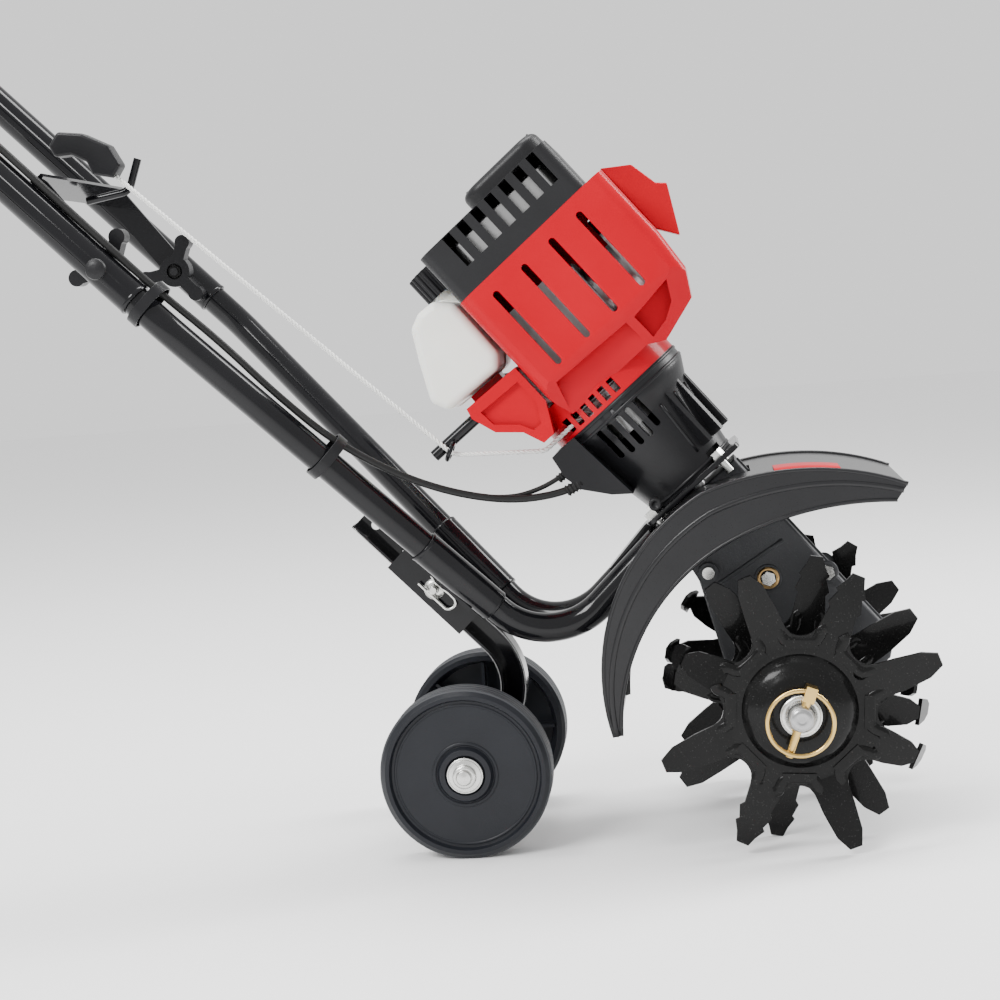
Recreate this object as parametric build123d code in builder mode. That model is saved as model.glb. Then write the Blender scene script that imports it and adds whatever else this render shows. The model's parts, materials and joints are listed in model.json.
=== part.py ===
"""Walk-behind petrol mini tiller: a small engine on a worm gearbox, four star tines, two depth wheels.

Row frame in millimetres: +X forward to the tines, +Y to the operator's left, +Z up, the floor at
Z = 0 and the origin under the middle of the machine.  The engine has its own planes: u runs across
the crankshaft, forward and up, and s runs up along the crankshaft, away from the gearbox.
"""
from build123d import *
import os
from math import asin, cos, degrees, radians, sin, tan

os.makedirs("parts", exist_ok=True)

# ---------------------------------------------------------------- driving dimensions
WHEEL_RADIUS = 63.5          # five-inch depth wheels
WHEEL_WIDTH = 27.0
WHEEL_FACE = 86.5            # outer face of a wheel from the middle plane
AXLE_X = 175.0
AXLE_RADIUS = 5.0

TINE_RADIUS = 104.8          # eight-and-a-quarter-inch tines
TINE_X = AXLE_X + 245.0
TINE_PLATE = 3.0
TINE_TEETH = 8
TINE_TIP_HALF = 4.5
LOWEST_TOOTH = 11.3          # degrees between the lowest teeth and straight down
TINE_Z = TINE_RADIUS * cos(radians(LOWEST_TOOTH) - asin(TINE_TIP_HALF / TINE_RADIUS))
SHAFT_RADIUS = 9.0
SHAFT_END = 136.0
INNER_TINE_Y = 58.0
OUTER_TINE_Y = 104.0

ENGINE_LEAN = radians(51.0)  # crankshaft below the horizontal
ENGINE_X = AXLE_X + 179.0    # where the crankshaft line meets the mounting plate
ENGINE_Z = 263.4
SHROUD_HALF = 72.0           # half width of the engine covers

FRAME_RADIUS = 11.1          # seven-eighths-inch lower tubes
SOCKET_RADIUS = 12.7         # one-inch sockets and upper tubes
TUBE_WALL = 1.5
HANDLE_HALF = 110.3          # side tubes from the middle plane, at the handle bolts
FRAME_HALF = 22.0            # frame tubes from the middle plane, under the engine
HANDLE_SLOPE = radians(46.9)
BOLT_X = AXLE_X - 229.0
BOLT_Z = 451.0
GUARD_HALF = 72.0

FRONT_X = TINE_X + TINE_RADIUS * cos(radians(LOWEST_TOOTH) - asin(TINE_TIP_HALF / TINE_RADIUS))
GRIP_END_X = -FRONT_X        # the grips end as far behind the origin as the tines reach ahead
CLEARANCE = 0.05             # radial running clearance of pins and shafts
SIDES = {"left": 1, "right": -1}

# ---------------------------------------------------------------- shared planes
U_DIR = Vector(sin(ENGINE_LEAN), 0, cos(ENGINE_LEAN))
S_DIR = Vector(-cos(ENGINE_LEAN), 0, sin(ENGINE_LEAN))
ENGINE_ORIGIN = Vector(ENGINE_X, 0, ENGINE_Z)
ENGINE = Plane(origin=ENGINE_ORIGIN, x_dir=U_DIR, z_dir=S_DIR)
ENGINE_SIDE = Plane(origin=ENGINE_ORIGIN, x_dir=U_DIR, z_dir=(0, -1, 0))
ENGINE_FRONT = Plane(origin=ENGINE_ORIGIN, x_dir=(0, 1, 0), z_dir=U_DIR)
SIDE = Plane.XZ              # sketches in X and Z, extruded towards the operator's right


def fore(distance):
    """X of a place this far ahead of the wheel axle."""
    return AXLE_X + distance


def engine_point(u, s, y=0.0):
    """Row-frame point of engine coordinates."""
    return ENGINE_ORIGIN + U_DIR * u + S_DIR * s + Vector(0, y, 0)


def save(name, block):
    """Label a finished sub-part and write its STEP file."""
    block.part.label = name
    export_step(block.part, "parts/" + name + ".step")


def bar(start, end, radius, inner=0.0):
    """Round bar or tube between two points."""
    start, end = Vector(*start), Vector(*end)
    with BuildPart() as rod:
        with BuildSketch(Plane(origin=start, z_dir=end - start)):
            Circle(radius)
            if inner:
                Circle(inner, mode=Mode.SUBTRACT)
        extrude(amount=(end - start).length)
    return rod.part


def cord_radii(points, share=0.45):
    """Largest tangent arcs that a cord's straight runs allow at its corners."""
    radii = []
    for before, corner, after in zip(points, points[1:], points[2:]):
        run_in, run_out = Vector(*corner) - Vector(*before), Vector(*after) - Vector(*corner)
        turn = radians(run_in.get_angle(run_out))
        radii.append(share * min(run_in.length, run_out.length) / tan(turn / 2))
    return radii


# ================================================================ lower frame
DOWN_LINE = Vector(cos(HANDLE_SLOPE), 0, -sin(HANDLE_SLOPE))
SOCKET_TOP = Vector(fore(-22.5), 53.0, 231.0)
FRAME_CORNER = Vector(fore(65.4), FRAME_HALF, 136.7)
FRAME_END = Vector(fore(152.0), FRAME_HALF, 220.5)
FRAME_BEND = 54.0
SOCKET_LENGTH = 72.0
SOCKET_OVERLAP = 18.0

for side, hand in SIDES.items():
    top = Vector(SOCKET_TOP.X, hand * SOCKET_TOP.Y, SOCKET_TOP.Z)
    corner = Vector(FRAME_CORNER.X, hand * FRAME_CORNER.Y, FRAME_CORNER.Z)
    end = Vector(FRAME_END.X, hand * FRAME_END.Y, FRAME_END.Z)
    along = (corner - top).normalized()
    tube_start = top + along * (SOCKET_LENGTH - SOCKET_OVERLAP)
    with BuildPart() as lower_frame:
        with BuildLine():
            FilletPolyline(tube_start, corner, end, radius=FRAME_BEND)
        with BuildSketch(Plane(origin=tube_start, z_dir=along)):
            Circle(FRAME_RADIUS)
            Circle(FRAME_RADIUS - TUBE_WALL, mode=Mode.SUBTRACT)
        sweep()
        with BuildSketch(Plane(origin=top, z_dir=along)):
            Circle(SOCKET_RADIUS)
            Circle(FRAME_RADIUS, mode=Mode.SUBTRACT)
        extrude(amount=SOCKET_LENGTH)
    save("lower_frame_" + side, lower_frame)

# ================================================================ depth wheel bracket
PIN_X, PIN_Z = fore(-22.0), 192.5
CHANNEL_LENGTH = 75.0
CHANNEL_DEPTH = 25.0
CHANNEL_HALF = 15.0
CHANNEL_WALL = 2.5
ARM_WIDTH = 20.0
ARM_HALF = 10.5
ARM_BEND = 49.0
ARM_STRAIGHT = 60.0          # from the pin down to where the arm starts to curve
ARM_TAIL = 79.0              # from the pin up to the end of the arm
PIN_RADIUS = 3.2
SLOT_UP, SLOT_DOWN = 24.0, 34.0
DEPTH_SIDE = Plane(origin=(PIN_X, 0, PIN_Z), x_dir=DOWN_LINE, z_dir=(0, -1, 0))

saddles = [bar((SOCKET_TOP.X, hand * SOCKET_TOP.Y, SOCKET_TOP.Z), (FRAME_CORNER.X, hand * FRAME_CORNER.Y,
               FRAME_CORNER.Z), SOCKET_RADIUS) for hand in (1, -1)]
with BuildPart() as depth_channel:
    with BuildSketch(DEPTH_SIDE):
        with Locations((0, -0.5)):
            Rectangle(CHANNEL_LENGTH, CHANNEL_DEPTH)
    extrude(amount=CHANNEL_HALF, both=True)
    with BuildSketch(DEPTH_SIDE):
        with Locations((0, 1.5)):
            Rectangle(CHANNEL_LENGTH + 2, CHANNEL_DEPTH - 1.5)
    extrude(amount=CHANNEL_HALF - CHANNEL_WALL, both=True, mode=Mode.SUBTRACT)
    with BuildSketch(DEPTH_SIDE):
        with Locations((4, CHANNEL_DEPTH / 2 + 0.5)):
            Rectangle(52, 3)
    extrude(amount=46, both=True)
    with BuildSketch(DEPTH_SIDE):
        Circle(PIN_RADIUS + CLEARANCE)
    extrude(amount=60, both=True, mode=Mode.SUBTRACT)
    add(saddles, mode=Mode.SUBTRACT)
save("depth_channel", depth_channel)

ARM_CENTRE = (ARM_STRAIGHT, -ARM_BEND)
ARM_SWEEP = 111.0


def arm_outline(width):
    """Closed outline of the wheel arm at this width, straight and then curved."""
    half = width / 2
    outer, inner = ARM_BEND + half, ARM_BEND - half
    turn = radians(90 - ARM_SWEEP)
    middle = radians(90 - ARM_SWEEP / 2)
    cx, cy = ARM_CENTRE
    Line((-ARM_TAIL, half), (ARM_STRAIGHT, half))
    ThreePointArc((ARM_STRAIGHT, half), (cx + outer * cos(middle), cy + outer * sin(middle)),
                  (cx + outer * cos(turn), cy + outer * sin(turn)))
    Line((cx + outer * cos(turn), cy + outer * sin(turn)), (cx + inner * cos(turn), cy + inner * sin(turn)))
    ThreePointArc((cx + inner * cos(turn), cy + inner * sin(turn)),
                  (cx + inner * cos(middle), cy + inner * sin(middle)), (ARM_STRAIGHT, -half))
    Line((ARM_STRAIGHT, -half), (-ARM_TAIL, -half))
    Line((-ARM_TAIL, -half), (-ARM_TAIL, half))


AXLE_TUBE_HALF = 55.0
AXLE_TUBE_RADIUS = 9.5
with BuildPart() as wheel_arm:
    with BuildSketch(DEPTH_SIDE):
        with BuildLine():
            arm_outline(ARM_WIDTH)
        make_face()
    extrude(amount=ARM_HALF, both=True)
    with BuildSketch(DEPTH_SIDE.offset(-ARM_HALF + 2.5)):
        with BuildLine():
            arm_outline(ARM_WIDTH - 5)
        make_face()
    extrude(amount=2 * ARM_HALF, mode=Mode.SUBTRACT)
    with BuildSketch(SIDE.offset(-AXLE_TUBE_HALF)):
        with Locations((AXLE_X, WHEEL_RADIUS)):
            Circle(AXLE_TUBE_RADIUS)
    extrude(amount=2 * AXLE_TUBE_HALF)
    with BuildSketch(SIDE.offset(-AXLE_TUBE_HALF - 1)):
        with Locations((AXLE_X, WHEEL_RADIUS)):
            Circle(AXLE_RADIUS)
    extrude(amount=2 * AXLE_TUBE_HALF + 2, mode=Mode.SUBTRACT)
    with BuildSketch(DEPTH_SIDE):
        with Locations(((SLOT_UP - SLOT_DOWN) / 2, 0)):
            SlotOverall(SLOT_UP + SLOT_DOWN + 2 * PIN_RADIUS + 2, 2 * PIN_RADIUS + 1.2)
        with Locations((-ARM_TAIL + 12, 0)):
            Circle(PIN_RADIUS + 0.3)
    extrude(amount=ARM_HALF + 2, both=True, mode=Mode.SUBTRACT)
save("wheel_arm", wheel_arm)

PIN_HALF = 21.0
with BuildPart() as depth_pin:
    with BuildSketch(DEPTH_SIDE.offset(-PIN_HALF)):
        Circle(PIN_RADIUS)
    extrude(amount=2 * PIN_HALF + 4)
    with BuildSketch(DEPTH_SIDE.offset(-PIN_HALF - 3)):
        Circle(6.5)
    extrude(amount=3)
    chamfer(depth_pin.faces().sort_by(Axis.Y)[0].edges(), 0.8)
save("depth_pin", depth_pin)

CLIP_WIRE = 1.3
CLIP_PLANE = DEPTH_SIDE.offset(PIN_HALF - 2)
with BuildPart() as hairpin_clip:
    with BuildLine(CLIP_PLANE):
        straight_leg = Line((-12, -4.6), (14, -4.6))
        clip_loop = ThreePointArc(straight_leg @ 1, (20, 0.8), (14, 5.6))
        bow_in = ThreePointArc(clip_loop @ 1, (8, 5.6), (4, 4.7))
        bow = ThreePointArc(bow_in @ 1, (0, 4.6), (-4, 4.7))
        Line(bow @ 1, (-13, 8.5))
    with BuildSketch(Plane(origin=straight_leg @ 0, z_dir=straight_leg % 0)):
        Circle(CLIP_WIRE)
    sweep(transition=Transition.ROUND)
save("hairpin_clip", hairpin_clip)

# ================================================================ depth wheels
HUB_INNER_Y = 56.0
CAP_STEPS = ((12, 0), (12.2, 1.6), (8.6, 2.2), (8.2, 5.4), (5.8, 6.2), (5.2, 8.6), (0, 9.4), (0, 0))
with BuildPart() as axle:
    with BuildSketch(SIDE.offset(-WHEEL_FACE)):
        with Locations((AXLE_X, WHEEL_RADIUS)):
            Circle(AXLE_RADIUS - CLEARANCE)
    extrude(amount=2 * WHEEL_FACE)
    for hand in (1, -1):
        with BuildSketch(Plane(origin=(AXLE_X, 0, WHEEL_RADIUS), x_dir=(1, 0, 0), z_dir=(0, 0, 1))):
            with BuildLine():
                Polyline(*[(radius, hand * (WHEEL_FACE + step)) for radius, step in CAP_STEPS], close=True)
            make_face()
        revolve(axis=Axis((AXLE_X, 0, WHEEL_RADIUS), (0, 1, 0)))
save("axle", axle)

for side, hand in SIDES.items():
    face = WHEEL_FACE
    with BuildPart() as wheel:
        with BuildSketch(Plane(origin=(AXLE_X, 0, WHEEL_RADIUS), x_dir=(1, 0, 0), z_dir=(0, 0, 1))):
            with BuildLine():
                Polyline((AXLE_RADIUS + CLEARANCE, HUB_INNER_Y), (11, HUB_INNER_Y), (12, face - 9),
                         (52, face - 9), (57, face - WHEEL_WIDTH), (WHEEL_RADIUS - 2.5, face - WHEEL_WIDTH),
                         (WHEEL_RADIUS, face - WHEEL_WIDTH + 2.5), (WHEEL_RADIUS, face - 4),
                         (WHEEL_RADIUS - 4, face), (56.5, face), (55, face - 3.5), (21, face - 3.5),
                         (19, face), (15, face), (14, face - 2), (AXLE_RADIUS + CLEARANCE, face - 2),
                         close=True)
            make_face()
        revolve(axis=Axis((AXLE_X, 0, WHEEL_RADIUS), (0, 1, 0)))
        with BuildSketch(SIDE.offset(-(face - 12))):
            with Locations((AXLE_X, WHEEL_RADIUS)):
                with PolarLocations(33, 8):
                    Rectangle(44, 2.4)
        extrude(amount=12, dir=(0, -1, 0))
        if hand < 0:
            mirror(about=Plane.XZ, mode=Mode.REPLACE)
    save("wheel_" + side, wheel)

# ================================================================ handlebars
spread = (HANDLE_HALF - SOCKET_TOP.Y) / (SOCKET_TOP.Y - FRAME_CORNER.Y)
LOWER_BEND = SOCKET_TOP + (SOCKET_TOP - FRAME_CORNER) * spread
HANDLE_BOLT = Vector(BOLT_X, HANDLE_HALF, BOLT_Z)
UP_LINE = (HANDLE_BOLT - LOWER_BEND).normalized()
PLUG_DEPTH = 46.0            # how far a lower handle tube goes into its socket
UPPER_START = 33.0           # upper tube below the handle bolt
LOWER_TOP = 24.0             # lower tube above the handle bolt
HANDLE_BEND = 75.0
KNEE = HANDLE_BOLT + UP_LINE * 395.0
ELBOW = Vector(fore(-566.0), 140.0, 834.0)
GRIP_END = Vector(GRIP_END_X + 7.4, 158.0, 860.0)
GRIP_LENGTH = 96.0
GRIP_RADIUS = 16.5
HANDLE_BOLT_RADIUS = 3.2
BOLT_HOLE_HALF = 20.0

for side, hand in SIDES.items():
    socket_top = Vector(SOCKET_TOP.X, hand * SOCKET_TOP.Y, SOCKET_TOP.Z)
    corner = Vector(FRAME_CORNER.X, hand * FRAME_CORNER.Y, FRAME_CORNER.Z)
    bend = Vector(LOWER_BEND.X, hand * LOWER_BEND.Y, LOWER_BEND.Z)
    bolt = Vector(BOLT_X, hand * HANDLE_HALF, BOLT_Z)
    into_socket = (corner - socket_top).normalized()
    low_end = socket_top + into_socket * PLUG_DEPTH
    with BuildPart() as lower_handle:
        with BuildLine():
            FilletPolyline(low_end, bend, bolt + UP_LINE * LOWER_TOP, radius=90)
        with BuildSketch(Plane(origin=low_end, z_dir=bend - low_end)):
            Circle(FRAME_RADIUS - CLEARANCE)
            Circle(FRAME_RADIUS - TUBE_WALL, mode=Mode.SUBTRACT)
        sweep()
        with BuildSketch(Plane.XZ.offset(-hand * HANDLE_HALF)):
            with Locations((BOLT_X, BOLT_Z)):
                Circle(HANDLE_BOLT_RADIUS + CLEARANCE)
        extrude(amount=BOLT_HOLE_HALF, both=True, mode=Mode.SUBTRACT)
    save("lower_handle_" + side, lower_handle)

    knee = Vector(KNEE.X, hand * KNEE.Y, KNEE.Z)
    elbow = Vector(ELBOW.X, hand * ELBOW.Y, ELBOW.Z)
    grip_end = Vector(GRIP_END.X, hand * GRIP_END.Y, GRIP_END.Z)
    upper_low = bolt - UP_LINE * UPPER_START
    with BuildPart() as upper_handle:
        with BuildLine():
            FilletPolyline(upper_low, knee, elbow, grip_end, radius=HANDLE_BEND)
        with BuildSketch(Plane(origin=upper_low, z_dir=knee - upper_low)):
            Circle(SOCKET_RADIUS)
            Circle(FRAME_RADIUS + CLEARANCE, mode=Mode.SUBTRACT)
        sweep()
        with BuildSketch(Plane.XZ.offset(-hand * HANDLE_HALF)):
            with Locations((BOLT_X, BOLT_Z)):
                Circle(HANDLE_BOLT_RADIUS + CLEARANCE)
        extrude(amount=BOLT_HOLE_HALF, both=True, mode=Mode.SUBTRACT)
    save("upper_handle_" + side, upper_handle)

grip_axis = (GRIP_END - ELBOW).normalized()
with BuildPart() as handle_grips:
    for hand in (1, -1):
        grip_end = Vector(GRIP_END.X, hand * GRIP_END.Y, GRIP_END.Z)
        axis = Vector(grip_axis.X, hand * grip_axis.Y, grip_axis.Z)
        with BuildSketch(Plane(origin=grip_end - axis * GRIP_LENGTH, z_dir=axis)):
            Circle(GRIP_RADIUS)
        extrude(amount=GRIP_LENGTH + 3)
        with BuildSketch(Plane(origin=grip_end - axis * (GRIP_LENGTH + 1), z_dir=axis)):
            Circle(SOCKET_RADIUS + CLEARANCE)
        extrude(amount=GRIP_LENGTH + 1.2, mode=Mode.SUBTRACT)
save("handle_grips", handle_grips)

with BuildPart() as handle_bolts:
    for hand in (1, -1):
        with BuildSketch(Plane(origin=(BOLT_X, 0, BOLT_Z), x_dir=(1, 0, 0), z_dir=(0, 0, 1))):
            with BuildLine():
                head = hand * (HANDLE_HALF + SOCKET_RADIUS)
                tip = hand * (HANDLE_HALF - 31.0)
                crown = hand * (HANDLE_HALF + SOCKET_RADIUS + 3.6)
                Polyline((0, tip), (HANDLE_BOLT_RADIUS, tip), (HANDLE_BOLT_RADIUS, head), (7.8, head),
                         (7.0, head + hand * 1.6), (4.4, head + hand * 3.0), (0, crown), close=True)
            make_face()
        revolve(axis=Axis((BOLT_X, 0, BOLT_Z), (0, 1, 0)))
save("handle_bolts", handle_bolts)

BRACE_TOP_X, BRACE_TOP_Z = fore(-274.0), 511.0
BRACE_FACE = HANDLE_HALF - SOCKET_RADIUS - 0.3
BRACE_THICK = 3.0
BRACE_WIDTH = 18.0
brace_dir = Vector(BRACE_TOP_X - BOLT_X, 0, BRACE_TOP_Z - BOLT_Z)
BRACE_SIDE = Plane(origin=(BOLT_X, 0, BOLT_Z), x_dir=brace_dir, z_dir=(0, -1, 0))
with BuildPart() as cross_brace:
    for hand in (1, -1):
        with BuildSketch(BRACE_SIDE.offset(-hand * BRACE_FACE)):
            SlotCenterPoint((brace_dir.length / 2, 0), (brace_dir.length, 0), BRACE_WIDTH)
            Circle(HANDLE_BOLT_RADIUS + CLEARANCE, mode=Mode.SUBTRACT)
        extrude(amount=hand * BRACE_THICK)
    with BuildSketch(BRACE_SIDE):
        with Locations((brace_dir.length + BRACE_WIDTH / 2 - 2.6, 0)):
            Rectangle(BRACE_THICK, BRACE_WIDTH + 2)
    extrude(amount=BRACE_FACE, both=True)
save("cross_brace", cross_brace)

KNOB_THICK = 13.0
KNOB_FACE = BRACE_FACE - BRACE_THICK - 0.4
KNOB_LOBES = 3
KNOB_TURN = 70
for side, hand in SIDES.items():
    with BuildPart() as star_knob:
        with BuildSketch(SIDE.offset(-hand * KNOB_FACE)):
            with Locations((BOLT_X, BOLT_Z)):
                Circle(12.5)
                with PolarLocations(13, KNOB_LOBES, start_angle=KNOB_TURN):
                    Rectangle(28, 9.6)
                with PolarLocations(24.5, KNOB_LOBES, start_angle=KNOB_TURN):
                    Circle(6.0)
        extrude(amount=hand * KNOB_THICK)
        with BuildSketch(SIDE.offset(-hand * KNOB_FACE)):
            with Locations((BOLT_X, BOLT_Z)):
                Circle(HANDLE_BOLT_RADIUS + CLEARANCE)
        extrude(amount=hand * KNOB_THICK, mode=Mode.SUBTRACT)
        with BuildSketch(SIDE.offset(-hand * (KNOB_FACE - KNOB_THICK))):
            with Locations((BOLT_X, BOLT_Z)):
                Circle(6.4)
        extrude(amount=-hand * 4, mode=Mode.SUBTRACT)
    save("knob_" + side, star_knob)

# ================================================================ engine mounting plate
PLATE_THICK = 4.0
PLATE_U = (-46.0, 44.0)
DRIVE_BORE = 17.0
MOUNT_BOLTS = ((-38, -26), (-38, 26), (26, -26), (26, 26))
MOUNT_BOLT_RADIUS = 3.0
with BuildPart() as mount_plate:
    with BuildSketch(ENGINE.offset(-PLATE_THICK)):
        with Locations(((PLATE_U[0] + PLATE_U[1]) / 2, 0)):
            RectangleRounded(PLATE_U[1] - PLATE_U[0], 76, 8)
        Circle(DRIVE_BORE, mode=Mode.SUBTRACT)
        with Locations(*MOUNT_BOLTS):
            Circle(MOUNT_BOLT_RADIUS + CLEARANCE, mode=Mode.SUBTRACT)
    extrude(amount=PLATE_THICK)
    with BuildSketch(SIDE):
        with BuildLine():
            Polyline((fore(112), 199), (fore(122), 193), (fore(147), 216), (fore(148), 236), (fore(141), 231),
                     close=True)
        make_face()
    extrude(amount=10.8, both=True)
save("mount_plate", mount_plate)

BOLT_HEAD_S = 0.4
with BuildPart() as mount_bolts:
    with BuildSketch(ENGINE.offset(-14.0)):
        with Locations(*MOUNT_BOLTS):
            Circle(MOUNT_BOLT_RADIUS)
    extrude(amount=14.0 + BOLT_HEAD_S)
    with BuildSketch(ENGINE.offset(0.0)):
        with Locations(*MOUNT_BOLTS):
            RegularPolygon(6.0, 6)
    extrude(amount=5.0)
save("mount_bolts", mount_bolts)

# ================================================================ gearbox
GEAR_TEETH = 36
GEAR_MODULE = 2.0
GEAR_PITCH = GEAR_TEETH * GEAR_MODULE / 2
tine_offset = Vector(TINE_X, 0, TINE_Z) - ENGINE_ORIGIN
TINE_U = tine_offset.dot(U_DIR)
TINE_S = tine_offset.dot(S_DIR)
BOX_HALF = 22.0
BOX_TOP = -9.2
GEAR_POCKET = GEAR_PITCH + 4.0
GEAR_HALF = 6.5
WORM_POCKET = 17.5
WORM_HALF = 21.0
BUSH_RADIUS = 13.0
DRIVE_RADIUS = 5.0
TUNNEL_RADIUS = 8.0
BEARING_LENGTH = 14.0
SHAFT_FOOT = TINE_S - WORM_HALF - 9.0
NECK_BOSS = (-38.0, -59.0)
STUD_BOSS = (-8.0, -92.0)
BOX_SCREWS = (NECK_BOSS, STUD_BOSS, (26, -48), (27, -118))
BOX_SCREW_RADIUS = 2.6

for side, hand in SIDES.items():
    with BuildPart() as gearbox:
        with BuildSketch(ENGINE_SIDE):
            with BuildLine():
                Polyline((-46, BOX_TOP), (34, BOX_TOP), (34, -24), (31, -60), (31, TINE_S - 22),
                         (18, TINE_S - 32), (-18, TINE_S - 32), (TINE_U, TINE_S - 46), (TINE_U - 43, TINE_S + 12),
                         (NECK_BOSS[0] - 10, -62), (-42, -30), close=True)
            make_face()
            with Locations((TINE_U, TINE_S)):
                Circle(46)
            with Locations(NECK_BOSS):
                Circle(9)
        extrude(amount=-hand * BOX_HALF)
        fillet(gearbox.faces().sort_by(Axis.Y)[-1 if hand > 0 else 0].edges(), 2.2)
        with BuildSketch(ENGINE_SIDE.offset(-hand * (BOX_HALF - 1))):
            with Locations((TINE_U, TINE_S)):
                Circle(19)
            with Locations(NECK_BOSS):
                Circle(7.5)
        extrude(amount=-hand * 5)
        with BuildSketch(ENGINE_SIDE):
            with Locations((TINE_U, TINE_S)):
                Circle(GEAR_POCKET)
        extrude(amount=-hand * (GEAR_HALF + 1.5), mode=Mode.SUBTRACT)
        with BuildSketch(ENGINE_SIDE):
            with Locations((TINE_U, TINE_S)):
                Circle(BUSH_RADIUS)
        extrude(amount=-hand * (BOX_HALF + 8), mode=Mode.SUBTRACT)
        with BuildSketch(ENGINE.offset(TINE_S - WORM_HALF - 4)):
            Circle(WORM_POCKET)
        extrude(amount=2 * WORM_HALF + 8, mode=Mode.SUBTRACT)
        with BuildSketch(ENGINE.offset(TINE_S)):
            Circle(TUNNEL_RADIUS)
        extrude(amount=BOX_TOP - BEARING_LENGTH - TINE_S, mode=Mode.SUBTRACT)
        with BuildSketch(ENGINE.offset(SHAFT_FOOT)):
            Circle(DRIVE_RADIUS + CLEARANCE)
        extrude(amount=BOX_TOP - SHAFT_FOOT + 1, mode=Mode.SUBTRACT)
        with BuildSketch(ENGINE_SIDE):
            with Locations(*BOX_SCREWS):
                Circle(BOX_SCREW_RADIUS + CLEARANCE)
        extrude(amount=-hand * (BOX_HALF + 8), mode=Mode.SUBTRACT)
        with BuildSketch(ENGINE.offset(BOX_TOP - 12)):
            with Locations(*MOUNT_BOLTS):
                Circle(MOUNT_BOLT_RADIUS + CLEARANCE)
        extrude(amount=14, mode=Mode.SUBTRACT)
    save("gearbox_" + side, gearbox)

BUSH_START = GEAR_HALF + 3.0
with BuildPart() as shaft_bushes:
    for hand in (1, -1):
        with BuildSketch(SIDE.offset(-hand * BUSH_START)):
            with Locations((TINE_X, TINE_Z)):
                Circle(BUSH_RADIUS - CLEARANCE)
                Circle(SHAFT_RADIUS + CLEARANCE, mode=Mode.SUBTRACT)
        extrude(amount=-hand * (BOX_HALF + 3 - BUSH_START))
save("shaft_bushes", shaft_bushes)

# ================================================================ tine rotor
LYNCH_Y = 129.0
LYNCH_RADIUS = 3.0
LYNCH_DIR = Vector(0.36, 0, 0.933)
with BuildPart() as tine_shaft:
    with BuildSketch(SIDE.offset(-SHAFT_END)):
        with Locations((TINE_X, TINE_Z)):
            Circle(SHAFT_RADIUS)
    extrude(amount=2 * SHAFT_END)
    chamfer(tine_shaft.faces().filter_by(Axis.Y).edges(), 1.0)
    for hand in (1, -1):
        with BuildSketch(Plane(origin=(TINE_X, hand * LYNCH_Y, TINE_Z), z_dir=LYNCH_DIR)):
            Circle(LYNCH_RADIUS + CLEARANCE)
        extrude(amount=SHAFT_RADIUS + 2, both=True, mode=Mode.SUBTRACT)
save("tine_shaft", tine_shaft)

with BuildPart() as worm_gear:
    with BuildSketch(SIDE.offset(-GEAR_HALF)):
        with Locations((TINE_X, TINE_Z)):
            Circle(GEAR_PITCH + GEAR_MODULE - 0.2)
            Circle(SHAFT_RADIUS + CLEARANCE, mode=Mode.SUBTRACT)
    extrude(amount=2 * GEAR_HALF)
    with BuildSketch(SIDE.offset(-GEAR_HALF - 1)):
        with Locations((TINE_X, TINE_Z)):
            with PolarLocations(GEAR_PITCH + 0.4, GEAR_TEETH, start_angle=90 - degrees(ENGINE_LEAN)):
                Trapezoid(6.4, 5.4, 67, rotation=90)
    extrude(amount=2 * GEAR_HALF + 2, mode=Mode.SUBTRACT)
save("worm_gear", worm_gear)

ROOT_RADIUS = 57.0
DOME_RADIUS = 38.0
DOME_RISE = 12.0
HUB_RADIUS = 12.6
TOOTH_LENGTH = TINE_RADIUS - ROOT_RADIUS + 6.0
TOOTH_STYLES = ("plain", "notched", "plain", "folded")
SPARE_HOLE_AT = 50.0
SPARE_HOLE_ANGLE = 11.0
SPARE_HOLE_RADIUS = 5.0


def tooth_points(style):
    """Outline of one tooth, from its root at the local origin out along local X."""
    tip, half = TOOTH_LENGTH, TINE_TIP_HALF
    if style == "notched":
        edge = [(0, 16), (9, 12), (tip - 28, 10), (tip - 25, 12.4), (tip - 16, 9), (tip - 14, 11),
                (tip - 7, 7), (tip, half)]
        return [(x, -y) for x, y in edge] + edge[::-1]
    if style == "folded":
        tip *= 0.72
    return [(0, -16), (9, -13), (tip * 0.45, -12.5), (tip * 0.8, -10), (tip, -half), (tip, half),
            (tip * 0.8, 9), (tip * 0.45, 11), (9, 12), (0, 16)]


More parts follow.
